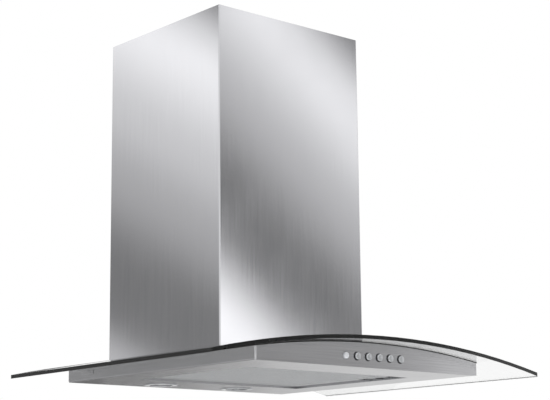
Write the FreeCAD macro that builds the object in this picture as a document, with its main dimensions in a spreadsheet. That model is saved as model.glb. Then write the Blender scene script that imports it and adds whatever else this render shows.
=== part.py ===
"""A wall-hung range hood with a curved glass canopy and a telescopic chimney.

Frame: the origin is on the wall plane, on the centre line, level with the canopy's underside.
+X points to the right as seen from the front, +Y into the wall, +Z up. Lengths are in millimetres.
"""
import FreeCAD, Part
import Sketcher
import math
import os
from types import SimpleNamespace

# Driving dimensions. Every other size in the model is worked out from these.
SIZES = {
    # curved glass, a sheet bent about an axis that runs front to back
    "glass_wide": 598,
    "glass_overhang": 31.1,
    "glass_thick": 5,
    "glass_apex": 38.8,
    "glass_arc": 1381,
    "glass_corner": 4,
    "cutout_corner": 8,
    "glass_wall_gap": 1,
    "seal_thick": 1.5,
    "seal_wide": 10,
    "rest_long": 61,
    "rest_wide": 20,
    # folded steel canopy under the glass
    "body_wide": 406.4,
    "body_deep": 416.6,
    "body_sheet": 1,
    "bend_round": 2,
    "front_lip": 6.5,
    "relief_rise": 8,
    "relief_tall": 6,
    "relief_wide": 1.2,
    "fascia_sheet": 1.2,
    "fascia_round": 2.5,
    "fascia_shadow": 1.5,
    # grease filter and its opening
    "opening_wide": 294,
    "opening_back": 97,
    "opening_margin": 79.6,
    "opening_lip": 10,
    "filter_play": 1.2,
    "filter_rise": 3,
    "filter_tall": 9,
    "filter_sheet": 1,
    "filter_edge": 14,
    "mesh_thick": 2,
    "foil_thick": 0.8,
    "pleat_count": 14,
    "tab_wide": 24,
    "tab_long": 4.7,
    "tab_inset": 50,
    "latch_wide": 31,
    "latch_inset": 56.5,
    "latch_reach": 12,
    "latch_block": 5,
    "latch_front": 2,
    "nose_wide": 15.5,
    "scoop_round": 3,
    "scoop_long": 22,
    "latch_travel": 5,
    "finger_wide": 66,
    "finger_deep": 5.5,
    "finger_web": 2,
    # lamps
    "lamp_spread": 143,
    "lamp_back": 44,
    "bezel_round": 25,
    "bezel_proud": 1.2,
    "bezel_edge": 0.5,
    "bezel_neck": 5,
    "lamp_hole": 22.2,
    "lens_round": 16.8,
    "lens_thick": 2,
    "lens_edge": 0.4,
    "can_tall": 22,
    "can_sheet": 1,
    "can_flange": 3,
    "can_chamfer": 2,
    "capsule_round": 4.5,
    "capsule_tall": 10,
    "holder_round": 7,
    "holder_tall": 6.6,
    # push buttons
    "button_pitch": 20,
    "button_level": 14,
    "button_round": 4.6,
    "button_proud": 4,
    "button_crown": 0.4,
    "button_edge": 0.8,
    "button_travel": 3,
    "pilot_proud": 3,
    "pilot_dome": 2.6,
    "collar_step": 1,
    "collar_thick": 1.2,
    "stem_round": 3,
    "stem_long": 12,
    "switch_tall": 17,
    "switch_deep": 30,
    "switch_side": 12,
    # air throat between canopy and blower
    "throat_inset": 26,
    "throat_back": 50,
    "throat_sheet": 1,
    "throat_flange": 8,
    "glass_margin": 6,
    # blower chamber and wall bracket
    "chamber_tall": 215,
    "chamber_lift": 8.2,
    "chamber_overhang": 6,
    "chamber_front_gap": 15.3,
    "chamber_sheet": 1,
    "bracket_side_gap": 8.35,
    "bracket_rise": 70,
    "bracket_foot": 13,
    "bracket_thick": 1.5,
    "bracket_corner": 8,
    "slot_inset": 15,
    "slot_drop": 18,
    "slot_long": 16,
    "slot_half": 3.5,
    "safety_spread": 120,
    "safety_rise": 18,
    "safety_round": 3,
    # fan
    "fan_room": 58,
    "wheel_wide": 100,
    "wheel_disc": 2,
    "wheel_ring": 1.5,
    "blade_count": 36,
    "blade_deep": 14,
    "blade_bite": 0.5,
    "blade_thick": 0.8,
    "blade_arc": 11,
    "blade_lead": 9,
    "hub_round": 12,
    "hub_wide": 24,
    "shaft_round": 4,
    "scroll_gap": 10,
    "scroll_step": 8,
    "scroll_wide": 124,
    "scroll_wall": 2,
    "scroll_floor": 4,
    "outlet_step": 22,
    "tongue_round": 6,
    "inlet_step": 12,
    "inlet_flange": 4,
    "motor_gap": 14,
    "motor_cap": 34,
    "motor_long": 50,
    "motor_shoulder": 10,
    "arm_hub": 24,
    "arm_bore": 8,
    "arm_root": 17,
    "arm_wide": 12,
    "arm_thick": 2,
    # duct collar with two non-return flaps
    "duct_round": 75,
    "duct_tall": 50,
    "duct_wall": 2,
    "duct_flange": 8,
    "duct_flange_thick": 3,
    "duct_inset": 0.5,
    "pin_round": 1.5,
    "pin_level": 31,
    "flap_thick": 1.5,
    "flap_play": 0.8,
    "knuckle_round": 3.4,
    "knuckle_wide": 24,
    "knuckle_inner": 14,
    "ledge_wide": 4,
    "ledge_thick": 2,
    # electrics
    "terminal_wide": 60,
    "terminal_deep": 50,
    "terminal_tall": 28,
    "terminal_inset": 8,
    "terminal_back": 12,
    "gland_round": 8,
    "gland_neck": 5,
    "gland_top": 6.4,
    "gland_shoulder": 5,
    "gland_bore": 3.8,
    "gland_tall": 15,
    "capacitor_round": 14,
    "capacitor_long": 55,
    "transformer_wide": 70,
    "transformer_deep": 40,
    "transformer_tall": 16,
    "transformer_side": 82,
    "transformer_front": 24,
    # chimney
    "chimney_wide": 266.7,
    "chimney_deep": 259.6,
    "chimney_top": 515.2,
    "chimney_sheet": 0.8,
    "chimney_bend": 1.6,
    "chimney_flange": 15,
    "foot_wide": 15,
    "foot_long": 40,
    "foot_back": 100,
    "flue_play": 0.6,
    "flue_flange": 12,
    "flue_rest": 44,
    "lug_back": 72,
    "lug_pitch": 128,
    "lug_wide": 6,
    "lug_long": 12,
    "lug_thick": 1,
    "vent_long": 60,
    "vent_tall": 4,
    "vent_corner": 1.6,
    "vent_pitch": 12,
    "vent_count": 6,
    "vent_drop": 25,
    # fasteners
    "clamp_inset": 14.55,
    "clamp_back": 60,
    "clamp_pitch": 140,
    "grommet_round": 5.4,
    "grommet_flange": 8.5,
    "grommet_thick": 1.2,
    "clamp_screw": 2.5,
    "clamp_head": 4.5,
    "clamp_head_tall": 3,
    "clamp_tail": 6,
    "nut_round": 4.6,
    "nut_tall": 4,
    "small_screw": 2,
    "small_head": 3.6,
    "small_head_tall": 2.4,
    "throat_screw_long": 8,
    "chimney_screw_long": 13,
    # clearances
    "seat_gap": 0.05,
    "hole_gap": 0.6,
    "slide_gap": 0.4,
    "running_gap": 0.05,
    "press_gap": 0.01,
}


class Dim:
    """A number and the sheet expression that gives it, so that one formula serves both."""

    def __init__(self, value, text):
        self.value = value
        self.text = text

    def __add__(self, other):
        other = dim(other)
        return Dim(self.value + other.value, f"({self.text} + {other.text})")

    def __sub__(self, other):
        other = dim(other)
        return Dim(self.value - other.value, f"({self.text} - {other.text})")

    def __mul__(self, other):
        other = dim(other)
        return Dim(self.value * other.value, f"({self.text} * {other.text})")

    def __truediv__(self, other):
        other = dim(other)
        return Dim(self.value / other.value, f"({self.text} / {other.text})")

    def __neg__(self):
        return Dim(-self.value, f"(0 - {self.text})")

    def __radd__(self, other):
        return dim(other) + self

    def __rsub__(self, other):
        return dim(other) - self

    def __rmul__(self, other):
        return dim(other) * self


def dim(value):
    """The value as a Dim; a plain number becomes its own expression."""
    return value if isinstance(value, Dim) else Dim(float(value), f"{float(value):.9f}")


def root(square):
    """The square root of a Dim."""
    return Dim(math.sqrt(square.value), f"sqrt({square.text})")


doc = FreeCAD.newDocument("range_hood")
sheet = doc.addObject("Spreadsheet::Sheet", "sizes")
for row, (name, value) in enumerate(SIZES.items(), start=1):
    sheet.set(f"A{row}", name)
    sheet.set(f"B{row}", str(value))
    sheet.setAlias(f"B{row}", name)
doc.recompute()
s = SimpleNamespace(**{name: Dim(float(sheet.get(name)), f"sizes.{name}") for name in SIZES})

# Levels and radii that several pieces share.
ARC_CENTRE = s.glass_apex - s.glass_arc
GLASS_UNDER = s.glass_arc - s.glass_thick
DECK_TOP = GLASS_UNDER - s.seal_thick
DECK_UNDER = DECK_TOP - s.body_sheet
HALF_BODY = s.body_wide / 2
PAN_DEEP = s.body_deep - s.fascia_sheet - s.fascia_shadow
FASCIA_BACK = s.body_deep - s.fascia_sheet
ABOVE_ALL = s.glass_apex + s.glass_thick
HALF_OPENING = s.opening_wide / 2
OPENING_FRONT = s.body_deep - s.opening_margin
GLASS_FRONT = s.body_deep + s.glass_overhang

# The blower's box follows the chimney round it, and the fan follows the box.
BRACKET_HALF = s.chimney_wide / 2 - s.chimney_flange - s.bracket_side_gap
CHAMBER_HALF = BRACKET_HALF + s.chamber_overhang
CHAMBER_BACK = s.bracket_thick
CHAMBER_FRONT = s.chimney_deep - s.chimney_sheet - s.chamber_front_gap
CHAMBER_FLOOR = s.glass_apex + s.chamber_lift
CHAMBER_TOP = CHAMBER_FLOOR + s.chamber_tall
THROAT_HALF = CHAMBER_HALF - s.throat_inset
THROAT_FRONT = CHAMBER_FRONT - s.throat_inset
WHEEL_ROUND = (CHAMBER_FRONT - CHAMBER_BACK - s.fan_room) / 2 - s.scroll_gap - s.scroll_step * 1.5
WHEEL_INNER = WHEEL_ROUND - s.blade_deep
INLET_ROUND = WHEEL_ROUND - s.inlet_step
INLET_FLANGE = WHEEL_ROUND + s.inlet_flange
MOTOR_ROUND = WHEEL_INNER - s.motor_gap
OUTLET_DEEP = WHEEL_ROUND + s.outlet_step
DUCT_CENTRE = CHAMBER_FRONT - s.duct_round - s.duct_flange - s.duct_inset
SHAFT_LEVEL = (
    CHAMBER_FLOOR + s.chamber_sheet + s.scroll_floor + s.scroll_wall
    + WHEEL_ROUND + s.scroll_gap + s.scroll_step * 1.5
)
SHAFT_BACK = (
    DUCT_CENTRE + OUTLET_DEEP / 2 - WHEEL_ROUND - s.scroll_gap - s.scroll_step * 2.5
)
BUTTONS = 5
PARTS = []


# ---------------------------------------------------------------- drawing and feature helpers

def bind(thing, prop, size):
    """Ties a property to the sheet."""
    thing.setExpression(prop, dim(size).text)


def keep(thing, label):
    """Marks a finished sub-part, whose label names its file."""
    thing.Label = label
    PARTS.append(thing)
    return thing


def new_body(label):
    body = doc.addObject("PartDesign::Body", label + "_body")
    return keep(body, label)


def place(thing, x=0, y=0, z=0):
    """Moves a sub-part that is drawn about its own origin to its place."""
    bind(thing, "Placement.Base.x", x)
    bind(thing, "Placement.Base.y", y)
    bind(thing, "Placement.Base.z", z)


def new_sketch(body, role, level=0):
    """A sketch on one of the body's origin planes, raised by level along the plane's normal.

    XY_Plane is drawn in (x, y) and faces +Z, XZ_Plane in (x, z) and faces -Y, towards the front,
    and YZ_Plane in (y, z) and faces +X.
    """
    plane = next(item for item in body.Origin.OriginFeatures if item.Role == role)
    drawing = body.newObject("Sketcher::SketchObject", body.Name + "_sketch")
    drawing.AttachmentSupport = (plane, [""])
    drawing.MapMode = "FlatFace"
    bind(drawing, "AttachmentOffset.Base.z", level)
    return drawing


def fix(drawing, kind, *where, size):
    """Adds one dimension to a sketch and ties it to the sheet."""
    number = drawing.addConstraint(Sketcher.Constraint(kind, *where, size.value))
    drawing.setExpression(f"Constraints[{number}]", size.text)


def arc_between(start, end, radius):
    """The arc from start to end: counter-clockwise for a positive radius, else clockwise."""
    chord = end - start
    reach = abs(radius)
    rise = math.sqrt(max(reach ** 2 - (chord.Length / 2) ** 2, 0))
    left = FreeCAD.Vector(-chord.y, chord.x, 0).normalize()
    centre = (start + end) / 2 + left * math.copysign(rise, radius)
    first, last = (start, end) if radius > 0 else (end, start)
    a0 = math.atan2(first.y - centre.y, first.x - centre.x)
    a1 = math.atan2(last.y - centre.y, last.x - centre.x)
    if a1 < a0:
        a1 += 2 * math.pi
    return Part.ArcOfCircle(Part.Circle(centre, FreeCAD.Vector(0, 0, 1), reach), a0, a1)


def outline(drawing, corners, arcs=None):
    """Draws a closed outline. arcs gives the signed radius of the edges that are round, by number."""
    arcs = arcs or {}
    corners = [(dim(u), dim(v)) for u, v in corners]
    points = [FreeCAD.Vector(u.value, v.value, 0) for u, v in corners]
    edges = []
    for number, start in enumerate(points):
        end = points[(number + 1) % len(points)]
        if number in arcs:
            radius = dim(arcs[number])
            edge = drawing.addGeometry(arc_between(start, end, radius.value), False)
            fix(drawing, "Radius", edge, size=radius if radius.value > 0 else -radius)
            ends = (1, 2) if radius.value > 0 else (2, 1)
        else:
            edge = drawing.addGeometry(Part.LineSegment(start, end), False)
            ends = (1, 2)
        edges.append((edge, *ends))
    for number, (edge, first, _) in enumerate(edges):
        before, _, last = edges[number - 1]
        drawing.addConstraint(Sketcher.Constraint("Coincident", before, last, edge, first))
        fix(drawing, "DistanceX", edge, first, size=corners[number][0])
        fix(drawing, "DistanceY", edge, first, size=corners[number][1])


def rectangle(drawing, low_u, low_v, high_u, high_v, corner=None):
    """A rectangle, with rounded corners if corner gives their radius."""
    if corner is None:
        outline(drawing, [(low_u, low_v), (high_u, low_v), (high_u, high_v), (low_u, high_v)])
        return
    low_u, low_v, high_u, high_v = dim(low_u), dim(low_v), dim(high_u), dim(high_v)
    corners = [
        (low_u + corner, low_v), (high_u - corner, low_v),
        (high_u, low_v + corner), (high_u, high_v - corner),
        (high_u - corner, high_v), (low_u + corner, high_v),
        (low_u, high_v - corner), (low_u, low_v + corner),
    ]
    outline(drawing, corners, {1: corner, 3: corner, 5: corner, 7: corner})


def circle(drawing, u, v, radius):
    u, v, radius = dim(u), dim(v), dim(radius)
    centre = FreeCAD.Vector(u.value, v.value, 0)
    edge = drawing.addGeometry(Part.Circle(centre, FreeCAD.Vector(0, 0, 1), radius.value), False)
    fix(drawing, "Radius", edge, size=radius)
    fix(drawing, "DistanceX", edge, 3, size=u)
    fix(drawing, "DistanceY", edge, 3, size=v)


def arch_height(radius, x):
    """The level at x of an arch of this radius; all the arches share the glass's centre line."""
    return ARC_CENTRE + root(radius * radius - x * x)


def arch_band(drawing, inner, outer, left, right):
    """The strip between two arches, from x = left to x = right."""
    corners = [
        (left, arch_height(inner, left)), (right, arch_height(inner, right)),
        (right, arch_height(outer, right)), (left, arch_height(outer, left)),
    ]
    outline(drawing, corners, {0: -inner, 2: outer})


def pad(body, drawing, length, forward=True, middle=False):
    """Adds material from the sketch, along the plane's normal if forward."""
    feature = body.newObject("PartDesign::Pad", body.Name + "_pad")
    feature.Profile = drawing
    bind(feature, "Length", length)
    feature.Reversed = not forward
    feature.Midplane = middle
    body.Tip = feature
    return feature


def pocket(body, drawing, length=None, forward=True, middle=False):
    """Cuts along the plane's normal if forward; through everything if no length is given."""
    feature = body.newObject("PartDesign::Pocket", body.Name + "_pocket")
    feature.Profile = drawing
    if length is None:
        feature.Type = "ThroughAll"
    else:
        bind(feature, "Length", length)
    feature.Reversed = forward
    feature.Midplane = middle
    body.Tip = feature
    return feature


def turn(body, drawing, axis):
    """Revolves the sketch a full turn about its own H_Axis or V_Axis."""
    feature = body.newObject("PartDesign::Revolution", body.Name + "_turn")
    feature.Profile = drawing
    feature.ReferenceAxis = (drawing, [axis])
    feature.Angle = 360
    body.Tip = feature
    return feature


def round_edges(body, wanted, radius):
    """Fillets the edges of the body's tip for which wanted(edge) holds."""
    doc.recompute()
    base = body.Tip
    names = [f"Edge{i}" for i, edge in enumerate(base.Shape.Edges, start=1) if wanted(edge)]
    feature = body.newObject("PartDesign::Fillet", body.Name + "_fillet")
    feature.Base = (base, names)
    bind(feature, "Radius", radius)
    body.Tip = feature
    return feature


def is_upright(edge):
    """True for a straight edge along Z."""
    low, high = edge.BoundBox.ZMin, edge.BoundBox.ZMax
    return abs(edge.Length - (high - low)) < 1e-6 * edge.Length


def at(value, size):
    """True where a coordinate lies on a given size."""
    return abs(value - size.value) < 1e-4


# ---------------------------------------------------------------- canopy

def make_canopy_body():
    """The folded pan: underside with its openings, side walls, rear wall and low front lip."""
    body = new_body("canopy_body")
    bend = s.bend_round
    wall_top = arch_height(DECK_TOP, HALF_BODY)
    drawing = new_sketch(body, "XZ_Plane")
    corners = [
        (-HALF_BODY + bend, 0), (HALF_BODY - bend, 0), (HALF_BODY, bend), (HALF_BODY, wall_top),
        (-HALF_BODY, wall_top), (-HALF_BODY, bend),
    ]
    outline(drawing, corners, {1: bend, 3: DECK_TOP, 5: bend})
    pad(body, drawing, PAN_DEEP)

    inner = HALF_BODY - s.body_sheet
    inner_bend = bend - s.body_sheet
    drawing = new_sketch(body, "XZ_Plane", s.body_sheet)
    corners = [
        (-inner + inner_bend, s.body_sheet), (inner - inner_bend, s.body_sheet),
        (inner, bend), (inner, ABOVE_ALL), (-inner, ABOVE_ALL), (-inner, bend),
    ]
    outline(drawing, corners, {1: inner_bend, 5: inner_bend})
    pocket(body, drawing, PAN_DEEP - s.body_sheet * 2)

    # the front lip stays low, so that the switches reach the fascia over it
    drawing = new_sketch(body, "XZ_Plane", PAN_DEEP - s.body_sheet * 2)
    rectangle(drawing, -inner, s.front_lip, inner, ABOVE_ALL)
    pocket(body, drawing)

    # a lip stands round the filter opening
    drawing = new_sketch(body, "XY_Plane")
    edge = HALF_OPENING + s.body_sheet
    rectangle(
        drawing, -edge, -OPENING_FRONT - s.body_sheet, edge, -s.opening_back + s.body_sheet
    )
    pad(body, drawing, s.opening_lip)
    drawing = new_sketch(body, "XY_Plane")
    rectangle(drawing, -HALF_OPENING, -OPENING_FRONT, HALF_OPENING, -s.opening_back)
    for side in (-1, 1):
        circle(drawing, s.lamp_spread / 2 * side, -s.lamp_back, s.lamp_hole)
    pocket(body, drawing)

    # notches in the lip for the filter's two tabs, on the left, and its latch, on the right
    drawing = new_sketch(body, "XY_Plane", s.filter_rise - s.slide_gap)
    for middle in tab_places():
        rectangle(
            drawing, -edge - s.slide_gap, middle - s.tab_wide / 2 - s.slide_gap,
            -HALF_OPENING + s.slide_gap, middle + s.tab_wide / 2 + s.slide_gap,
        )
    latch = latch_place()
    rectangle(
        drawing, HALF_OPENING - s.slide_gap, latch - s.nose_wide / 2 - s.slide_gap,
        edge + s.slide_gap, latch + s.nose_wide / 2 + s.slide_gap,
    )
    pocket(body, drawing)

    # relief cuts where the side walls' seal begins
    drawing = new_sketch(body, "YZ_Plane")
    start = s.rest_long + s.glass_wall_gap
    rectangle(
        drawing, -start - s.relief_wide, s.relief_rise, -start, s.relief_rise + s.relief_tall
    )
    pocket(body, drawing, middle=True)


def make_fascia():
    """The front strip: flat, with rounded ends, its top edge following the arch."""
    body = new_body("fascia")
    outer = HALF_BODY
    bend = s.fascia_round
    inner = outer - s.fascia_sheet
    inner_bend = bend - s.fascia_sheet
    back = PAN_DEEP + s.seat_gap
    start = s.body_deep - bend
    drawing = new_sketch(body, "XY_Plane")
    corners = [
        (-outer, -back), (-outer, -start), (-outer + bend, -s.body_deep),
        (outer - bend, -s.body_deep), (outer, -start), (outer, -back),
        (inner, -back), (inner, -start), (outer - bend, -FASCIA_BACK),
        (-outer + bend, -FASCIA_BACK), (-inner, -start), (-inner, -back),
    ]
    outline(drawing, corners, {1: bend, 3: bend, 7: -inner_bend, 9: -inner_bend})
    pad(body, drawing, ABOVE_ALL)
    drawing = new_sketch(body, "XZ_Plane")
    above = ABOVE_ALL + s.glass_thick
    ends = arch_height(DECK_TOP, outer + s.hole_gap)
    corners = [
        (-outer - s.hole_gap, ends), (outer + s.hole_gap, ends),
        (outer + s.hole_gap, above), (-outer - s.hole_gap, above),
    ]
    outline(drawing, corners, {0: -DECK_TOP})
    pocket(body, drawing)
    drawing = new_sketch(body, "XZ_Plane")
    for number in range(BUTTONS + 1):
        circle(drawing, control_place(number), s.button_level, s.button_round + s.slide_gap)
    pocket(body, drawing)


def control_place(number):
    """The x of the pilot light, number 0, and of the push buttons, numbers 1 to 5."""
    return s.button_pitch * (number - BUTTONS / 2)


def make_top_deck():
    """The arched sheet under the glass, open where the air goes up."""
    body = new_body("top_deck")
    drawing = new_sketch(body, "XZ_Plane", s.body_sheet + s.seat_gap)
    half = HALF_BODY - s.body_sheet - s.seat_gap
    arch_band(drawing, DECK_UNDER, DECK_TOP, -half, half)
    pad(body, drawing, PAN_DEEP - s.body_sheet - s.seat_gap)
    drawing = new_sketch(body, "XY_Plane")
    rectangle(drawing, -THROAT_HALF, -THROAT_FRONT, THROAT_HALF, -s.throat_back)
    for x, y in clamp_places():
        circle(drawing, x, y, s.clamp_screw + s.hole_gap * 2)
    for x, y in foot_places():
        circle(drawing, x, y, s.small_screw + s.hole_gap)
    pocket(body, drawing)


def make_air_throat():
    """A rectangular duct that stands on the deck and carries a flat flange for the blower."""
    body = new_body("air_throat")
    half = THROAT_HALF
    front = THROAT_FRONT
    wall = s.throat_sheet
    top = CHAMBER_FLOOR - s.seat_gap
    drawing = new_sketch(body, "XY_Plane")
    rectangle(drawing, -half - wall, -front - wall, half + wall, -s.throat_back + wall)
    pad(body, drawing, top)
    drawing = new_sketch(body, "XY_Plane", top - wall)
    reach = s.throat_flange
    rectangle(drawing, -half - reach, -front - reach, half + reach, -s.throat_back + reach)
    pad(body, drawing, wall)
    drawing = new_sketch(body, "XY_Plane")
    rectangle(drawing, -half, -front, half, -s.throat_back)
    for x, y in throat_screw_places():
        circle(drawing, x, y, s.small_screw + s.hole_gap / 2)
    pocket(body, drawing)
    drawing = new_sketch(body, "XZ_Plane")
    seat = DECK_TOP + s.seat_gap
    far = half + reach + s.hole_gap
    corners = [
        (-far, -s.hole_gap), (far, -s.hole_gap), (far, arch_height(seat, far)),
        (-far, arch_height(seat, far)),
    ]
    outline(drawing, corners, {2: seat})
    pocket(body, drawing)


def make_glass():
    """The curved pane, with a cut-out for the throat and holes for its screws."""
    body = new_body("glass_canopy")
    half = s.glass_wide / 2
    drawing = new_sketch(body, "XZ_Plane", s.glass_wall_gap)
    arch_band(drawing, GLASS_UNDER, s.glass_arc, -half, half)
    pad(body, drawing, GLASS_FRONT - s.glass_wall_gap)
    drawing = new_sketch(body, "XY_Plane")
    reach = s.throat_flange + s.glass_margin
    rectangle(
        drawing, -THROAT_HALF - reach, -THROAT_FRONT - reach, THROAT_HALF + reach,
        -s.throat_back + reach, s.cutout_corner,
    )
    for x, y in clamp_places():
        circle(drawing, x, y, s.grommet_round + s.hole_gap)
    for x, y in foot_places():
        circle(drawing, x, y, s.small_screw + s.hole_gap * 2)
    pocket(body, drawing)
    round_edges(
        body,
        lambda edge: is_upright(edge) and at(abs(edge.CenterOfMass.x), half)
        and at(-edge.CenterOfMass.y, GLASS_FRONT),
        s.glass_corner,
    )


def make_glass_seal():
    """The black strip between the canopy and the glass, along both sides and the front."""
    body = new_body("glass_seal")
    start = s.glass_wall_gap + s.rest_long + s.seat_gap
    drawing = new_sketch(body, "XZ_Plane", start)
    arch_band(drawing, DECK_TOP + s.seat_gap, GLASS_UNDER - s.seat_gap, -HALF_BODY, HALF_BODY)
    pad(body, drawing, s.body_deep - start)
    drawing = new_sketch(body, "XY_Plane")
    inside = HALF_BODY - s.seal_wide
    rectangle(
        drawing, -inside, -s.body_deep + s.seal_wide, inside, -start + s.hole_gap
    )
    pocket(body, drawing)


def make_glass_rest(label, side):
    """The steel packer that carries the glass next to the wall."""
    body = new_body(label)
    drawing = new_sketch(body, "XZ_Plane", s.glass_wall_gap)
    inside = HALF_BODY - s.rest_wide
    left, right = (-HALF_BODY, -inside) if side < 0 else (inside, HALF_BODY)
    arch_band(drawing, DECK_TOP + s.seat_gap, GLASS_UNDER - s.seat_gap, left, right)
    pad(body, drawing, s.rest_long)


# ---------------------------------------------------------------- controls

def make_switch_box():
    """The switch block behind the fascia, with a guide bore for each push button."""
    body = new_body("switch_box")
    front = FASCIA_BACK - s.seat_gap
    half = s.button_pitch * BUTTONS / 2 + s.switch_side
    low = s.front_lip + s.seat_gap
    drawing = new_sketch(body, "XZ_Plane", front - s.switch_deep)
    rectangle(drawing, -half, low, half, low + s.switch_tall)
    pad(body, drawing, s.switch_deep)
    drawing = new_sketch(body, "XZ_Plane", front)
    for number in range(1, BUTTONS + 1):
        circle(drawing, control_place(number), s.button_level, collar_round() + s.slide_gap)
    pocket(body, drawing, collar_room(), forward=False)
    drawing = new_sketch(body, "XZ_Plane", front)
    for number in range(1, BUTTONS + 1):
        circle(drawing, control_place(number), s.button_level, s.stem_round + s.running_gap)
    pocket(body, drawing, collar_room() + s.stem_long, forward=False)
    drawing = new_sketch(body, "XZ_Plane", front)
    circle(drawing, control_place(0), s.button_level, s.button_round)
    pocket(body, drawing, s.button_travel, forward=False)


def collar_round():
    """The radius of the collar that keeps a button behind the fascia."""
    return s.button_round + s.collar_step


def collar_room():
    """How deep the switch box is bored for a button's collar."""
    return s.button_travel + s.collar_thick + s.slide_gap * 3


def make_button(number):
    """A push button: domed cap, collar behind the fascia and a stem in the switch box."""
    body = new_body(f"button_{number}")
    drawing = new_sketch(body, "YZ_Plane")
    front = -s.button_proud
    rim = front + s.button_crown
    start = s.fascia_sheet + s.slide_gap
    collar_end = start + s.collar_thick
    stem_end = collar_end + s.stem_long - s.slide_gap
    corners = [
        (front, 0), (rim, s.button_round - s.button_edge),
        (rim + s.button_edge, s.button_round), (start, s.button_round),
        (start, collar_round()), (collar_end, collar_round()),
        (collar_end, s.stem_round), (stem_end, s.stem_round), (stem_end, 0),
    ]
    outline(drawing, corners, {1: -s.button_edge})
    turn(body, drawing, "H_Axis")
    place(body, control_place(number), -s.body_deep, s.button_level)


def make_pilot_lens():
    """The round-edged lens of the pilot light."""
    body = new_body("pilot_lens")
    drawing = new_sketch(body, "YZ_Plane")
    front = -s.pilot_proud
    back = s.fascia_sheet + s.seat_gap + s.button_travel
    rim = s.button_round - s.seat_gap
    corners = [
        (front, 0), (back, 0), (back, rim), (front + s.pilot_dome, rim),
        (front, rim - s.pilot_dome),
    ]
    outline(drawing, corners, {3: s.pilot_dome})
    turn(body, drawing, "H_Axis")
    place(body, control_place(0), -s.body_deep, s.button_level)


def make_transformer():
    """The lamp transformer, a closed block on the pan beside the switches."""
    body = new_body("lamp_transformer")
    drawing = new_sketch(body, "XY_Plane", s.body_sheet + s.seat_gap)
    front = PAN_DEEP - s.transformer_front
    right = -s.transformer_side
    rectangle(
        drawing, right - s.transformer_wide, -front, right, -front + s.transformer_deep,
        s.bend_round,
    )
    pad(body, drawing, s.transformer_tall)


# ---------------------------------------------------------------- lamps

def make_lamp(side_name, side):
    """One lamp: bezel and lens below the pan, can, holder and bulb above it."""
    x = s.lamp_spread / 2 * side
    neck = s.lamp_hole - s.slide_gap
    room = neck + s.hole_gap * 2
    lens_seat = s.lens_round + s.seat_gap

    bezel = new_body(f"lamp_bezel_{side_name}")
    drawing = new_sketch(bezel, "XZ_Plane")
    low = -s.bezel_proud
    rim = s.bezel_proud - s.seat_gap
    corners = [
        (lens_seat, low + s.bezel_edge), (lens_seat + s.bezel_edge, low),
        (s.bezel_round - rim, low), (s.bezel_round, -s.seat_gap), (neck, -s.seat_gap),
        (neck, s.bezel_neck), (neck - s.can_sheet, s.bezel_neck),
        (neck - s.can_sheet, s.lens_thick), (lens_seat, s.lens_thick),
    ]
    outline(drawing, corners, {2: rim})
    turn(bezel, drawing, "V_Axis")
    place(bezel, x, -s.lamp_back)

    lens = new_body(f"lamp_lens_{side_name}")
    drawing = new_sketch(lens, "XZ_Plane")
    corners = [
        (0, 0), (s.lens_round - s.lens_edge, 0), (s.lens_round, s.lens_edge),
        (s.lens_round, s.lens_thick), (0, s.lens_thick),
    ]
    outline(drawing, corners)
    turn(lens, drawing, "V_Axis")
    place(lens, x, -s.lamp_back)

    can = new_body(f"lamp_can_{side_name}")
    drawing = new_sketch(can, "XZ_Plane")
    foot = s.body_sheet + s.seat_gap
    outer = room + s.can_sheet
    top = foot + s.can_tall
    ceiling = top - s.can_sheet
    corners = [
        (room, foot), (outer + s.can_flange, foot), (outer + s.can_flange, foot + s.can_sheet),
        (outer, foot + s.can_sheet), (outer, top - s.can_chamfer), (outer - s.can_chamfer, top),
        (0, top), (0, ceiling), (room - s.can_sheet, ceiling), (room, ceiling - s.can_sheet),
    ]
    outline(drawing, corners)
    turn(can, drawing, "V_Axis")
    place(can, x, -s.lamp_back)

    holder = new_body(f"lamp_holder_{side_name}")
    drawing = new_sketch(holder, "XY_Plane", ceiling - s.seat_gap)
    circle(drawing, 0, 0, s.holder_round)
    pad(holder, drawing, s.holder_tall, forward=False)
    place(holder, x, -s.lamp_back)

    bulb = new_body(f"lamp_bulb_{side_name}")
    drawing = new_sketch(bulb, "XZ_Plane")
    base = ceiling - s.seat_gap * 2 - s.holder_tall
    tip = base - s.capsule_tall
    corners = [
        (0, tip), (s.capsule_round, tip + s.capsule_round), (s.capsule_round, base), (0, base),
    ]
    outline(drawing, corners, {0: s.capsule_round})
    turn(bulb, drawing, "V_Axis")
    place(bulb, x, -s.lamp_back)


# ---------------------------------------------------------------- grease filter

def tab_places():
    """The y of the filter's two hinge tabs."""
    return (-s.opening_back - s.tab_inset, -OPENING_FRONT + s.tab_inset)


def latch_place():
    """The y of the filter's latch."""
    return -OPENING_FRONT + s.latch_inset


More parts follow.
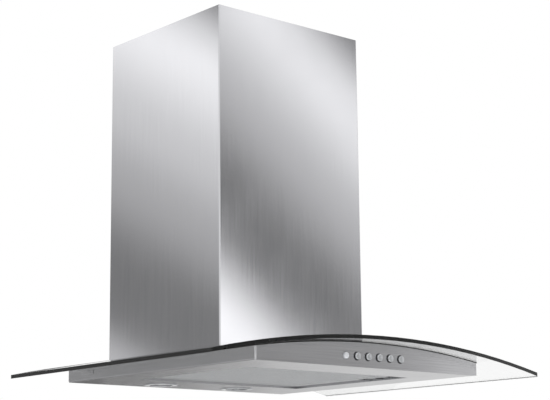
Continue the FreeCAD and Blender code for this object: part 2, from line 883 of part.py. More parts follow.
def make_filter_frame():
    """The channel frame of the grease filter, with hinge tabs and a finger recess."""
    body = new_body("filter_frame")
    half = HALF_OPENING - s.filter_play
    back = s.opening_back + s.filter_play
    front = OPENING_FRONT - s.filter_play
    wall = s.filter_sheet
    drawing = new_sketch(body, "XY_Plane", s.filter_rise)
    rectangle(drawing, -half, -front, half, -back, s.bend_round)
    pad(body, drawing, s.filter_tall)
    edge = s.filter_edge
    latch_edge = s.latch_reach + s.latch_travel + s.latch_block
    drawing = new_sketch(body, "XY_Plane", s.filter_rise)
    rectangle(
        drawing, -half + edge, -front + edge, half - latch_edge, -back - edge, s.bend_round
    )
    pocket(body, drawing)
    drawing = new_sketch(body, "XY_Plane", s.filter_rise + wall)
    rectangle(drawing, -half + wall, -front + wall, half - latch_edge + wall, -back - wall)
    pocket(body, drawing, s.filter_tall - wall * 2)

    # hinge tabs on the left
    drawing = new_sketch(body, "XY_Plane", s.filter_rise)
    for middle in tab_places():
        rectangle(
            drawing, -half - s.tab_long, middle - s.tab_wide / 2, -half + wall,
            middle + s.tab_wide / 2,
        )
    pad(body, drawing, wall)

    # latch slot on the right: its undercut takes the rails, its window lets the nose through
    latch = latch_place()
    slot_half = s.latch_wide / 2 + s.slide_gap
    slot_start = half - s.latch_reach - s.latch_travel - s.slide_gap
    slot_end = half - s.latch_front
    drawing = new_sketch(body, "XY_Plane", s.filter_rise)
    rectangle(drawing, slot_start, latch - slot_half, slot_end, latch + slot_half)
    pocket(body, drawing, s.finger_deep)
    rail_half = slot_half + wall
    drawing = new_sketch(body, "XY_Plane", s.filter_rise + s.finger_deep / 2)
    rectangle(drawing, slot_start, latch - rail_half, slot_end, latch + rail_half)
    pocket(body, drawing, s.finger_deep / 2)
    nose_half = s.nose_wide / 2 + s.slide_gap
    drawing = new_sketch(body, "XY_Plane", s.filter_rise)
    rectangle(drawing, slot_end - wall, latch - nose_half, half + wall, latch + nose_half)
    pocket(body, drawing, s.finger_deep)

    # a finger pocket on each side of the latch
    drawing = new_sketch(body, "XY_Plane", s.filter_rise)
    near = rail_half + s.finger_web
    for low, high in ((-s.finger_wide / 2, -near), (near, s.finger_wide / 2)):
        rectangle(drawing, half - s.latch_reach, latch + low, half + wall, latch + high)
    pocket(body, drawing, s.finger_deep)


def mesh_sides():
    """The left and right x and the front and back y of the mesh inside the frame's channel."""
    half = HALF_OPENING - s.filter_play
    inset = s.filter_sheet + s.seat_gap
    latch_side = s.latch_reach + s.latch_travel + s.latch_block - s.filter_sheet + s.seat_gap
    return (
        -half + inset, half - latch_side,
        -OPENING_FRONT + s.filter_play + inset, -s.opening_back - s.filter_play - inset,
    )


def make_filter_mesh():
    """The flat layers of expanded aluminium on the filter's lower face."""
    body = new_body("filter_mesh")
    left, right, front, back = mesh_sides()
    drawing = new_sketch(body, "XY_Plane", s.filter_rise + s.filter_sheet + s.seat_gap)
    rectangle(drawing, left, front, right, back)
    pad(body, drawing, s.mesh_thick)


def make_filter_core():
    """The folded foil over the flat mesh: one pleated strip, drawn from the side."""
    body = new_body("filter_core")
    left, right, front, back = mesh_sides()
    low = s.filter_rise + s.filter_sheet + s.mesh_thick + s.seat_gap * 2
    high = s.filter_rise + s.filter_tall - s.filter_sheet - s.seat_gap
    folds = int(s.pleat_count.value)
    pitch = (right - left) / folds
    drawing = new_sketch(body, "XZ_Plane", -back)
    lower = [
        (left + pitch * number / 2, high - s.foil_thick if number % 2 else low)
        for number in range(folds * 2 + 1)
    ]
    upper = [
        (left + pitch * number / 2, high if number % 2 else low + s.foil_thick)
        for number in range(folds * 2, -1, -1)
    ]
    outline(drawing, lower + upper)
    pad(body, drawing, back - front)


def make_filter_latch():
    """The sliding latch of the filter: rails, grip and a nose that points at the lip."""
    body = new_body("filter_latch")
    half = HALF_OPENING - s.filter_play
    latch = latch_place()
    grip = s.latch_wide / 2
    wall = s.filter_sheet
    start = half - s.latch_reach
    end = half - s.latch_front - s.slide_gap
    drawing = new_sketch(body, "XY_Plane", s.filter_rise + s.slide_gap)
    rectangle(drawing, start, latch - grip, end, latch + grip)
    tall = s.finger_deep - s.slide_gap * 2
    pad(body, drawing, tall)
    drawing = new_sketch(body, "XY_Plane", s.filter_rise + s.finger_deep / 2 + s.slide_gap)
    rail = grip + wall
    rectangle(drawing, start, latch - rail, end, latch + rail)
    pad(body, drawing, s.finger_deep / 2 - s.slide_gap * 2)
    drawing = new_sketch(body, "XY_Plane", s.filter_rise + s.finger_deep / 2)
    nose = s.nose_wide / 2
    reach = half + s.filter_play - s.slide_gap
    corners = [
        (end - wall, latch - nose), (reach - wall, latch - nose), (reach, latch - nose + wall),
        (reach, latch + nose - wall), (reach - wall, latch + nose), (end - wall, latch + nose),
    ]
    outline(drawing, corners)
    pad(body, drawing, s.finger_deep / 2 - s.slide_gap)
    # a finger scoop across the grip
    drawing = new_sketch(body, "XZ_Plane", -latch - s.scoop_long / 2)
    circle(drawing, (start + end) / 2, s.filter_rise + s.slide_gap, s.scoop_round)
    pocket(body, drawing, s.scoop_long)


# ---------------------------------------------------------------- blower

def make_chamber():
    """The sheet box round the fan, open to the throat below and to the duct collar above."""
    body = new_body("blower_chamber")
    half = CHAMBER_HALF
    wall = s.chamber_sheet
    back = CHAMBER_BACK + s.seat_gap
    front = CHAMBER_FRONT
    floor = CHAMBER_FLOOR
    drawing = new_sketch(body, "XY_Plane", floor)
    rectangle(drawing, -half, -front, half, -back)
    pad(body, drawing, s.chamber_tall)
    drawing = new_sketch(body, "XY_Plane", floor + wall)
    rectangle(drawing, -half + wall, -front + wall, half - wall, -back - wall)
    pocket(body, drawing, s.chamber_tall - wall * 2)
    drawing = new_sketch(body, "XY_Plane", floor + wall * 2)
    rectangle(drawing, -THROAT_HALF, -THROAT_FRONT, THROAT_HALF, -s.throat_back)
    for x, y in throat_screw_places():
        circle(drawing, x, y, s.small_screw + s.hole_gap / 2)
    pocket(body, drawing, wall * 3, forward=False)
    drawing = new_sketch(body, "XY_Plane", CHAMBER_TOP - wall * 2)
    circle(drawing, 0, -DUCT_CENTRE, s.duct_round - s.duct_wall)
    pocket(body, drawing, wall * 3)


def make_wall_bracket():
    """The plate that hangs on the wall screws; the chamber is welded to it."""
    body = new_body("wall_bracket")
    foot = CHAMBER_FLOOR + s.bracket_foot
    top = CHAMBER_TOP + s.bracket_rise
    slot_level = top - s.slot_drop
    safety_level = CHAMBER_TOP + s.safety_rise
    drawing = new_sketch(body, "XZ_Plane")
    rectangle(drawing, -BRACKET_HALF, foot, BRACKET_HALF, top, s.bracket_corner)
    for side in (-1, 1):
        slot_middle = (BRACKET_HALF - s.slot_inset) * side
        straight = s.slot_long / 2 - s.slot_half
        corners = [
            (slot_middle - straight, slot_level - s.slot_half),
            (slot_middle + straight, slot_level - s.slot_half),
            (slot_middle + s.slot_long / 2, slot_level),
            (slot_middle + straight, slot_level + s.slot_half),
            (slot_middle - straight, slot_level + s.slot_half),
            (slot_middle - s.slot_long / 2, slot_level),
        ]
        outline(drawing, corners, dict.fromkeys((1, 2, 4, 5), s.slot_half))
        circle(drawing, s.safety_spread / 2 * side, safety_level, s.safety_round)
    pad(body, drawing, s.bracket_thick)


def scroll_outline(drawing, wall):
    """The volute: three quarter arcs that open by one step each, then a straight outlet.

    The air turns from the tongue, over the back and under the wheel, to the outlet at the front.
    wall is 0 for the air space and the wall's thickness for the outside.
    """
    step = s.scroll_step
    first = WHEEL_ROUND + s.scroll_gap + wall
    second = first + step
    third = second + step
    half_step = step / 2
    y0, z0 = -SHAFT_BACK, SHAFT_LEVEL
    front = y0 - half_step - third
    tongue = front + wall * 2 + OUTLET_DEEP
    top = CHAMBER_TOP - s.chamber_sheet - s.seat_gap
    crown = z0 - half_step + first
    tip = s.tongue_round
    corners = [
        (front, top), (front, z0 + half_step),
        (y0 - half_step, z0 + half_step - third),
        (y0 + half_step + first, z0 - half_step),
        (y0 + half_step, crown), (tongue + tip, crown), (tongue, crown + tip), (tongue, top),
    ]
    arcs = {1: third, 2: second, 3: first, 5: -tip}
    outline(drawing, corners, arcs)


def make_scroll_half(label, side):
    """One moulded half of the fan's scroll, open at the parting plane and at the outlet."""
    body = new_body(label)
    forward = side > 0
    drawing = new_sketch(body, "YZ_Plane", s.seat_gap / 2 * side)
    scroll_outline(drawing, s.scroll_wall)
    pad(body, drawing, s.scroll_wide / 2, forward=forward)
    drawing = new_sketch(body, "YZ_Plane")
    scroll_outline(drawing, dim(0))
    pocket(body, drawing, s.scroll_wide / 2 - s.scroll_wall, forward=forward)
    drawing = new_sketch(body, "YZ_Plane")
    circle(drawing, -SHAFT_BACK, SHAFT_LEVEL, inlet_hole())
    pocket(body, drawing, forward=forward)


def inlet_hole():
    """The radius of the hole in each side of the scroll."""
    return (INLET_ROUND + INLET_FLANGE) / 2


def make_inlet_ring(label, side):
    """The flared ring that leads the air into one side of the wheel."""
    body = new_body(label)
    drawing = new_sketch(body, "XY_Plane")
    plate = s.scroll_wide / 2 + s.seat_gap * 2
    outside = plate + s.scroll_wall
    neck = inlet_hole() - s.slide_gap
    flare = neck - INLET_ROUND
    corners = [
        (outside * side, INLET_FLANGE), (outside * side, neck),
        ((outside - flare) * side, INLET_ROUND),
        ((outside - flare) * side, INLET_ROUND + s.scroll_wall),
        (plate * side, neck - s.slide_gap), (plate * side, INLET_FLANGE),
    ]
    outline(drawing, corners, {1: flare * -side})
    turn(body, drawing, "H_Axis")
    place(body, 0, -SHAFT_BACK, SHAFT_LEVEL)


def make_impeller():
    """The wheel's middle disc with the hub that sits on the motor's shaft."""
    body = new_body("impeller")
    for radius, width in ((WHEEL_ROUND, s.wheel_disc), (s.hub_round, s.hub_wide)):
        drawing = new_sketch(body, "YZ_Plane")
        circle(drawing, 0, 0, radius)
        circle(drawing, 0, 0, s.shaft_round)
        pad(body, drawing, width, middle=True)
    place(body, 0, -SHAFT_BACK, SHAFT_LEVEL)


def make_wheel_ring(label, side):
    """One of the wheel's end rings, which hold the blades' outer ends."""
    body = new_body(label)
    drawing = new_sketch(body, "YZ_Plane", s.wheel_wide / 2 * side)
    circle(drawing, 0, 0, WHEEL_ROUND)
    circle(drawing, 0, 0, WHEEL_INNER)
    pad(body, drawing, s.wheel_ring, forward=side < 0)
    place(body, 0, -SHAFT_BACK, SHAFT_LEVEL)


def make_blades(label, side):
    """The forward-curved blades of one side, each a separate strip from the disc to the ring."""
    body = new_body(label)
    body.AllowCompound = True
    drawing = new_sketch(body, "YZ_Plane", s.wheel_disc / 2 * side)
    lead = math.radians(s.blade_lead.value)
    low = WHEEL_INNER + s.blade_bite
    high = WHEEL_ROUND - s.blade_bite
    tip_y = high * math.cos(lead)
    tip_z = high * math.sin(lead)
    corners = [
        (low, 0), (tip_y, tip_z),
        (tip_y - s.blade_thick * math.sin(lead), tip_z + s.blade_thick * math.cos(lead)),
        (low, s.blade_thick),
    ]
    outline(drawing, corners, {0: s.blade_arc, 2: -s.blade_arc})
    span = s.wheel_wide / 2 - s.wheel_ring - s.wheel_disc / 2
    blade = pad(body, drawing, span, forward=side > 0)
    doc.recompute()
    pattern = body.newObject("PartDesign::PolarPattern", label + "_pattern")
    pattern.Originals = [blade]
    axis = next(item for item in body.Origin.OriginFeatures if item.Role == "X_Axis")
    pattern.Axis = (axis, [""])
    pattern.Angle = 360
    bind(pattern, "Occurrences", s.blade_count)
    body.Tip = pattern
    place(body, 0, -SHAFT_BACK, SHAFT_LEVEL)


def motor_start():
    """The x where the motor's inner end stands."""
    return s.scroll_wide / 2 + s.seat_gap * 2 + s.scroll_wall + s.seat_gap - s.motor_long


def make_motor():
    """The motor and its shaft, which carries the wheel."""
    body = new_body("motor_body")
    drawing = new_sketch(body, "XY_Plane")
    bore = s.shaft_round + s.running_gap
    start = motor_start()
    end = start + s.motor_long
    shoulder = s.motor_shoulder
    corners = [
        (start, bore), (end, bore), (end, s.motor_cap), (end - shoulder, s.motor_cap),
        (end - shoulder, MOTOR_ROUND), (start + shoulder * 2, MOTOR_ROUND),
        (start + shoulder * 2, s.motor_cap), (start + shoulder, s.motor_cap),
        (start, s.motor_cap - shoulder),
    ]
    outline(drawing, corners)
    turn(body, drawing, "H_Axis")
    place(body, 0, -SHAFT_BACK, SHAFT_LEVEL)

    shaft = keep(doc.addObject("Part::Cylinder", "motor_shaft_rod"), "motor_shaft")
    bind(shaft, "Radius", s.shaft_round)
    bind(shaft, "Height", end + s.hub_wide / 2)
    shaft.Placement = FreeCAD.Placement(
        FreeCAD.Vector(), FreeCAD.Rotation(FreeCAD.Vector(0, 1, 0), 90)
    )
    place(shaft, -s.hub_wide / 2, -SHAFT_BACK, SHAFT_LEVEL)


def make_motor_bracket():
    """Three arms that carry the motor over the right inlet, each with a foot on the scroll."""
    body = new_body("motor_bracket")
    start = motor_start() + s.motor_long + s.seat_gap
    foot = s.scroll_wide / 2 + s.seat_gap * 2
    drawing = new_sketch(body, "YZ_Plane", start)
    circle(drawing, 0, 0, s.arm_hub)
    circle(drawing, 0, 0, s.arm_bore)
    pad(body, drawing, s.arm_thick)
    reach = INLET_FLANGE + s.arm_wide
    clear = INLET_FLANGE + s.slide_gap
    for number in range(3):
        turned = math.radians(90 + 120 * number)
        cosine, sine = math.cos(turned), math.sin(turned)
        half = s.arm_wide / 2

        def spot(along, across):
            return (along * cosine - across * sine, along * sine + across * cosine)

        drawing = new_sketch(body, "YZ_Plane", start)
        inside = s.arm_root
        outline(
            drawing,
            [spot(inside, -half), spot(reach, -half), spot(reach, half), spot(inside, half)],
        )
        pad(body, drawing, s.arm_thick)
        drawing = new_sketch(body, "YZ_Plane", foot)
        outline(
            drawing,
            [spot(clear, -half), spot(reach, -half), spot(reach, half), spot(clear, half)],
        )
        pad(body, drawing, start - foot + s.arm_thick / 2)
    place(body, 0, -SHAFT_BACK, SHAFT_LEVEL)


# ---------------------------------------------------------------- duct collar and flaps

def make_collar():
    """The round spigot for the duct, with a ledge under the flaps and holes for their pin."""
    body = new_body("outlet_collar")
    drawing = new_sketch(body, "XZ_Plane")
    bore = s.duct_round - s.duct_wall
    flange = s.duct_round + s.duct_flange
    ledge_top = s.pin_level - s.flap_thick / 2 - s.slide_gap
    corners = [
        (bore, 0), (flange, 0), (flange, s.duct_flange_thick),
        (s.duct_round, s.duct_flange_thick), (s.duct_round, s.duct_tall), (bore, s.duct_tall),
        (bore, ledge_top), (bore - s.ledge_wide, ledge_top),
        (bore - s.ledge_wide, ledge_top - s.ledge_thick), (bore, ledge_top - s.ledge_thick * 2),
    ]
    outline(drawing, corners)
    turn(body, drawing, "V_Axis")
    drawing = new_sketch(body, "YZ_Plane")
    circle(drawing, 0, s.pin_level, s.pin_round + s.press_gap)
    pocket(body, drawing, middle=True)
    place(body, 0, -DUCT_CENTRE, CHAMBER_TOP + s.seat_gap)


def make_damper_pin():
    """The pin across the collar on which both flaps turn."""
    pin = keep(doc.addObject("Part::Cylinder", "damper_pin_rod"), "damper_pin")
    bind(pin, "Radius", s.pin_round)
    bind(pin, "Height", (s.duct_round - s.running_gap) * 2)
    pin.Placement = FreeCAD.Placement(
        FreeCAD.Vector(), FreeCAD.Rotation(FreeCAD.Vector(0, 1, 0), 90)
    )
    place(
        pin, s.running_gap - s.duct_round, -DUCT_CENTRE, CHAMBER_TOP + s.seat_gap + s.pin_level
    )


def knuckle_starts():
    """The x where each of a flap's two knuckles starts; the other flap's fill the gaps."""
    return (-s.knuckle_inner - s.knuckle_wide * 2, s.knuckle_inner)


def make_flap(label, turned):
    """A half-round flap with two knuckles on the pin."""
    body = new_body(label)
    edge = s.knuckle_round + s.flap_play
    reach = s.duct_round - s.duct_wall - s.flap_play
    half_wide = root(reach * reach - edge * edge)
    drawing = new_sketch(body, "XY_Plane", -s.flap_thick / 2)
    corners = [(-half_wide, -edge), (0, -reach), (half_wide, -edge)]
    outline(drawing, corners, {0: reach, 1: reach})
    pad(body, drawing, s.flap_thick)
    for start in knuckle_starts():
        drawing = new_sketch(body, "XY_Plane", -s.flap_thick / 2)
        rectangle(drawing, start, -edge - s.flap_thick, start + s.knuckle_wide, 0)
        pad(body, drawing, s.flap_thick)
        drawing = new_sketch(body, "YZ_Plane", start)
        circle(drawing, 0, 0, s.knuckle_round)
        pad(body, drawing, s.knuckle_wide)
    drawing = new_sketch(body, "YZ_Plane")
    circle(drawing, 0, 0, s.pin_round + s.running_gap)
    pocket(body, drawing, middle=True)
    body.Placement = FreeCAD.Placement(
        FreeCAD.Vector(), FreeCAD.Rotation(FreeCAD.Vector(0, 0, 1), turned)
    )
    place(body, 0, -DUCT_CENTRE, CHAMBER_TOP + s.seat_gap + s.pin_level)


# ---------------------------------------------------------------- electrics

def make_terminal_box():
    """The junction box on the chamber, its gland for the mains cable, and the capacitor."""
    floor = CHAMBER_TOP + s.seat_gap
    back = CHAMBER_BACK + s.terminal_back
    left = -CHAMBER_HALF + s.terminal_inset
    middle = left + s.terminal_wide / 2
    box = new_body("terminal_box")
    drawing = new_sketch(box, "XY_Plane", floor)
    rectangle(
        drawing, left, -back - s.terminal_deep, left + s.terminal_wide, -back, s.bend_round
    )
    pad(box, drawing, s.terminal_tall)
    drawing = new_sketch(box, "XY_Plane", floor + s.terminal_tall - s.gland_tall / 2)
    circle(drawing, middle, -back - s.terminal_deep / 2, s.gland_neck)
    pocket(box, drawing)

    gland = new_body("cable_gland")
    drawing = new_sketch(gland, "XZ_Plane")
    neck = s.gland_neck - s.seat_gap
    half = s.gland_tall / 2
    corners = [
        (s.gland_bore, -half + s.seat_gap), (neck, -half + s.seat_gap), (neck, 0),
        (s.gland_round, 0), (s.gland_round, s.gland_shoulder), (s.gland_top, half),
        (s.gland_bore, half),
    ]
    outline(drawing, corners)
    turn(gland, drawing, "V_Axis")
    place(gland, middle, -back - s.terminal_deep / 2, floor + s.terminal_tall + s.seat_gap)

    capacitor = keep(doc.addObject("Part::Cylinder", "capacitor_can"), "capacitor")
    bind(capacitor, "Radius", s.capacitor_round)
    bind(capacitor, "Height", s.capacitor_long)
    capacitor.Placement = FreeCAD.Placement(
        FreeCAD.Vector(), FreeCAD.Rotation(FreeCAD.Vector(0, 1, 0), 90)
    )
    place(
        capacitor, CHAMBER_HALF - s.terminal_inset - s.capacitor_long, -back - s.capacitor_round,
        floor + s.capacitor_round,
    )


# ---------------------------------------------------------------- chimney

def channel_outline(drawing, half, back, front, wall, flange, bend):
    """A U-shaped sheet in plan, open at the wall, with a return flange at each rear edge."""
    inner = half - wall
    inner_bend = bend - wall
    corners = [
        (-half + flange, -back), (-half, -back), (-half, -front + bend), (-half + bend, -front),
        (half - bend, -front), (half, -front + bend), (half, -back), (half - flange, -back),
        (half - flange, -back - wall), (inner, -back - wall), (inner, -front + bend),
        (half - bend, -front + wall), (-half + bend, -front + wall), (-inner, -front + bend),
        (-inner, -back - wall), (-half + flange, -back - wall),
    ]
    outline(drawing, corners, {2: bend, 4: bend, 10: -inner_bend, 12: -inner_bend})


def foot_places():
    """The x and y of the two screws that hold the chimney down."""
    inner = s.chimney_wide / 2 - s.chimney_sheet
    return [
        ((inner - s.foot_wide / 2) * side, -s.foot_back - s.foot_long / 2) for side in (-1, 1)
    ]


def make_chimney_cover():
    """The lower chimney: a U-shaped sheet whose bottom edge follows the glass."""
    body = new_body("chimney_cover")
    half = s.chimney_wide / 2
    inner = half - s.chimney_sheet
    seat = s.glass_arc + s.slide_gap
    drawing = new_sketch(body, "XY_Plane")
    channel_outline(
        drawing, half, dim(0), s.chimney_deep, s.chimney_sheet, s.chimney_flange, s.chimney_bend
    )
    pad(body, drawing, s.chimney_top)
    drawing = new_sketch(body, "XZ_Plane", -s.hole_gap)
    far = half + s.hole_gap
    corners = [
        (-far, -s.hole_gap), (far, -s.hole_gap), (far, arch_height(seat, far)),
        (-far, arch_height(seat, far)),
    ]
    outline(drawing, corners, {2: seat})
    pocket(body, drawing)

    # feet bent inwards over the glass, one on each side
    drawing = new_sketch(body, "XZ_Plane", s.foot_back)
    for side in (-1, 1):
        edges = sorted(((inner - s.foot_wide) * side, (half - s.chimney_sheet / 2) * side),
                       key=lambda edge: edge.value)
        arch_band(drawing, seat, seat + s.chimney_sheet, *edges)
    pad(body, drawing, s.foot_long)
    drawing = new_sketch(body, "XY_Plane")
    for x, y in foot_places():
        circle(drawing, x, y, s.small_screw + s.seat_gap)
    pocket(body, drawing)

    # lugs on which the inner flue rests
    drawing = new_sketch(body, "XY_Plane", s.flue_rest - s.lug_thick)
    for side in (-1, 1):
        edges = sorted(((inner - s.lug_wide) * side, (half - s.chimney_sheet / 2) * side),
                       key=lambda edge: edge.value)
        for back in (s.lug_back, s.lug_back + s.lug_pitch):
            rectangle(drawing, edges[0], -back - s.lug_long, edges[1], -back)
    pad(body, drawing, s.lug_thick)


def make_chimney_extension():
    """The inner flue, which slides up out of the lower one; vents near its top."""
    body = new_body("chimney_extension")
    half = s.chimney_wide / 2 - s.chimney_sheet - s.flue_play
    back = s.chimney_sheet + s.flue_play
    front = s.chimney_deep - s.chimney_sheet - s.flue_play
    bottom = s.flue_rest + s.slide_gap
    top = s.chimney_top - s.chimney_sheet
    drawing = new_sketch(body, "XY_Plane", bottom)
    channel_outline(drawing, half, back, front, s.chimney_sheet, s.flue_flange, s.chimney_bend)
    pad(body, drawing, top - bottom)
    drawing = new_sketch(body, "YZ_Plane")
    middle = s.chimney_deep / 2
    for number in range(int(s.vent_count.value)):
        level = top - s.vent_drop - s.vent_pitch * number
        rectangle(
            drawing, -middle - s.vent_long / 2, level - s.vent_tall / 2,
            -middle + s.vent_long / 2, level + s.vent_tall / 2, s.vent_corner,
        )
    pocket(body, drawing, middle=True)


# ---------------------------------------------------------------- fasteners

def clamp_places():
    """The x and y of the four screws that clamp the glass."""
    x = s.chimney_wide / 2 - s.chimney_sheet - s.clamp_inset
    return [
        (x * side, -back)
        for side in (-1, 1)
        for back in (s.clamp_back, s.clamp_back + s.clamp_pitch)
    ]


def throat_screw_places():
    """The x and y of the screws that join the chamber to the throat's flange."""
    x = THROAT_HALF + (s.throat_flange + s.throat_sheet) / 2
    middle = (s.throat_back + THROAT_FRONT) / 2
    spread = (THROAT_FRONT - s.throat_back) / 4
    return [(x * side, -middle + spread * end) for side in (-1, 1) for end in (-1, 1)]


def group(label, members):
    """One sub-part made of several equal solids."""
    compound = doc.addObject("Part::Compound", label + "_group")
    compound.Links = members
    return keep(compound, label)


def rod(name, radius, low, high):
    """An upright cylinder about the local Z axis."""
    piece = doc.addObject("Part::Cylinder", name)
    bind(piece, "Radius", radius)
    bind(piece, "Height", high - low)
    bind(piece, "Placement.Base.z", low)
    return piece


def fused(name, base, tool):
    joined = doc.addObject("Part::Fuse", name)
    joined.Base = base
    joined.Tool = tool
    return joined


def bored(name, base, tool):
    cut = doc.addObject("Part::Cut", name)
    cut.Base = base
    cut.Tool = tool
    return cut


def stand_on_arch(thing, x, y):
    """Puts a piece drawn about Z at the glass's top surface, square to the curve."""
    height = arch_height(s.glass_arc, x)
    thing.Placement = FreeCAD.Placement(
        FreeCAD.Vector(), FreeCAD.Rotation(FreeCAD.Vector(0, 1, 0), 1)
    )
    bind(thing, "Placement.Rotation.Angle", Dim(0, f"asin({(x / s.glass_arc).text})"))
    place(thing, x, y, height)


def make_glass_clamps():
    """Rubber grommets, screws and nuts that clamp the glass to the deck."""
    grommets, screws, nuts = [], [], []
    below = -s.glass_thick - s.seal_thick + s.seat_gap * 2
    flange = s.seat_gap * 2
    cap = flange + s.grommet_thick
    end = below - s.clamp_tail
    for number, (x, y) in enumerate(clamp_places(), start=1):
        sleeve = fused(
            f"grommet_solid_{number}",
            rod(f"grommet_sleeve_{number}", s.grommet_round, below, flange + s.seat_gap),
            rod(f"grommet_flange_{number}", s.grommet_flange, flange, cap),
        )
        bore = rod(f"grommet_bore_{number}", s.clamp_screw + s.seat_gap, below * 2, cap * 2)
        grommet = bored(f"grommet_{number}", sleeve, bore)
        stand_on_arch(grommet, x, y)
        grommets.append(grommet)

        head = rod(
            f"clamp_head_{number}", s.clamp_head, cap + s.seat_gap,
            cap + s.seat_gap + s.clamp_head_tall,
        )
        shank = rod(f"clamp_shank_{number}", s.clamp_screw, end, cap + s.seat_gap * 2)
        screw = fused(f"clamp_screw_{number}", head, shank)
        stand_on_arch(screw, x, y)
        screws.append(screw)

        hexagon = doc.addObject("Part::Prism", f"nut_hexagon_{number}")
        hexagon.Polygon = 6
        bind(hexagon, "Circumradius", s.nut_round)
        bind(hexagon, "Height", s.nut_tall)
        top = below - s.body_sheet - s.seat_gap * 4
        bind(hexagon, "Placement.Base.z", top - s.nut_tall)
        bore = rod(f"nut_bore_{number}", s.clamp_screw + s.press_gap, end * 2, below)
        nut = bored(f"nut_{number}", hexagon, bore)
        stand_on_arch(nut, x, y)
        nuts.append(nut)
    group("glass_grommets", grommets)
    group("glass_screws", screws)
    group("glass_nuts", nuts)


def make_small_screws(label, places, seat, down, length):
    """Small screws whose heads bear on seat; down is 1 where the head is on top."""
    screws = []
    for number, (x, y) in enumerate(places, start=1):
        tall = s.small_head_tall
        if down > 0:
            head = rod(f"{label}_head_{number}", s.small_head, seat, seat + tall)
            shank = rod(f"{label}_shank_{number}", s.small_screw, seat - length, seat + tall / 2)
        else:
            head = rod(f"{label}_head_{number}", s.small_head, seat - tall, seat)
            shank = rod(f"{label}_shank_{number}", s.small_screw, seat - tall / 2, seat + length)
        screw = fused(f"{label}_{number}", head, shank)
        place(screw, x, y)
        screws.append(screw)
    group(label, screws)


# ---------------------------------------------------------------- assembly and export

def make_all():
    make_canopy_body()
    make_fascia()
    make_top_deck()
    make_air_throat()
    make_glass()
    make_glass_seal()
    make_glass_rest("glass_rest_left", -1)
    make_glass_rest("glass_rest_right", 1)
    make_switch_box()
    for number in range(1, BUTTONS + 1):
        make_button(number)
    make_pilot_lens()
    make_transformer()
    make_lamp("left", -1)
    make_lamp("right", 1)
    make_filter_frame()
    make_filter_mesh()
    make_filter_core()
    make_filter_latch()
    make_chamber()
    make_wall_bracket()
    make_scroll_half("scroll_left", -1)
    make_scroll_half("scroll_right", 1)
    make_inlet_ring("inlet_ring_left", -1)
    make_inlet_ring("inlet_ring_right", 1)
    make_impeller()
    make_wheel_ring("impeller_ring_left", -1)
    make_wheel_ring("impeller_ring_right", 1)
    make_blades("impeller_blades_left", -1)
    make_blades("impeller_blades_right", 1)
    make_motor()
    make_motor_bracket()
    make_collar()
    make_damper_pin()
    make_flap("damper_flap_front", 0)
    make_flap("damper_flap_rear", 180)
    make_terminal_box()
    make_chimney_cover()
    make_chimney_extension()
    make_glass_clamps()
    chamber_seat = CHAMBER_FLOOR + s.chamber_sheet + s.seat_gap
    make_small_screws(
        "throat_screws", throat_screw_places(), chamber_seat, 1, s.throat_screw_long
    )
    foot_x = foot_places()[1][0]
    deck_seat = arch_height(DECK_UNDER, foot_x + s.small_head) - s.seat_gap
    make_small_screws("chimney_screws", foot_places(), deck_seat, -1, s.chimney_screw_long)


def check():
    """Stops if anything failed to build, or a cut took nothing away."""
    for item in doc.Objects:
        if "Invalid" in item.State or "Error" in item.State:
            raise RuntimeError(f"{item.Name} failed: {item.State}")
        if item.TypeId == "PartDesign::Pocket":
            if item.BaseFeature.Shape.Volume - item.Shape.Volume < 1e-3:
                raise RuntimeError(f"{item.Name} cuts nothing")
    for item in PARTS:
        if item.Shape.isNull() or not item.Shape.isValid():
            raise RuntimeError(f"{item.Label} has no valid shape")


make_all()
doc.recompute()
check()
os.makedirs("parts", exist_ok=True)
for item in PARTS:
    item.Shape.exportStep(os.path.join("parts", f"{item.Label}.step"))
    print(f"{item.Label}: {len(item.Shape.Solids)} solids, {item.Shape.Volume / 1000:.2f} cm3")
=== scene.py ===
# %% [markdown]
# # A curved glass range hood
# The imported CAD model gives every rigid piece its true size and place. This lesson dresses it: each
# surface gets the finish that its real material has, and fine pieces that CAD leaves out, such as
# the filter's expanded metal and the lamps' reflectors, are worked out here with numpy.

# %% Load the frame
import math
import bpy
import numpy as np
from mathutils import Matrix, Vector


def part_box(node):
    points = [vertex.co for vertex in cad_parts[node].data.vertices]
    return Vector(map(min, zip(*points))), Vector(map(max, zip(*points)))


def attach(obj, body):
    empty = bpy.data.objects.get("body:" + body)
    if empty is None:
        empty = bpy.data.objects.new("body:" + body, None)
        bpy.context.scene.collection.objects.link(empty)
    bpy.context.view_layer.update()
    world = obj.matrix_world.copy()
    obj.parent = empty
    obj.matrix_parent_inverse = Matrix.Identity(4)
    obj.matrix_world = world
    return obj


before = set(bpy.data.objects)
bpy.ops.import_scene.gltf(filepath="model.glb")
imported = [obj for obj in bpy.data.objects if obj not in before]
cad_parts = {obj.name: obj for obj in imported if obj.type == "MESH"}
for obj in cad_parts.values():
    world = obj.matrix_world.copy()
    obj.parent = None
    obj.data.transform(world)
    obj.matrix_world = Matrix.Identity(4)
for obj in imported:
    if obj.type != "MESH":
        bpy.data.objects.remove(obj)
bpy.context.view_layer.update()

# %% [markdown]
# ## Colours
# A colour written as sRGB hex is what the eye sees on a screen, but a shader counts light, so one
# function turns every written colour into linear light. Another adds a node with its settings and
# links in one line, so that a material reads like a recipe.

# %% Colour and node helpers
MM = 0.001
PATTERN_LOW = 0.3
PATTERN_HIGH = 0.7


def linear(code):
    """sRGB hex to linear light: the low part is divided by 12.92, the rest follows a power of 2.4."""
    parts = [int(code[i:i + 2], 16) / 255 for i in (1, 3, 5)]
    return [c / 12.92 if c <= 0.04045 else ((c + 0.055) / 1.055) ** 2.4 for c in parts] + [1.0]


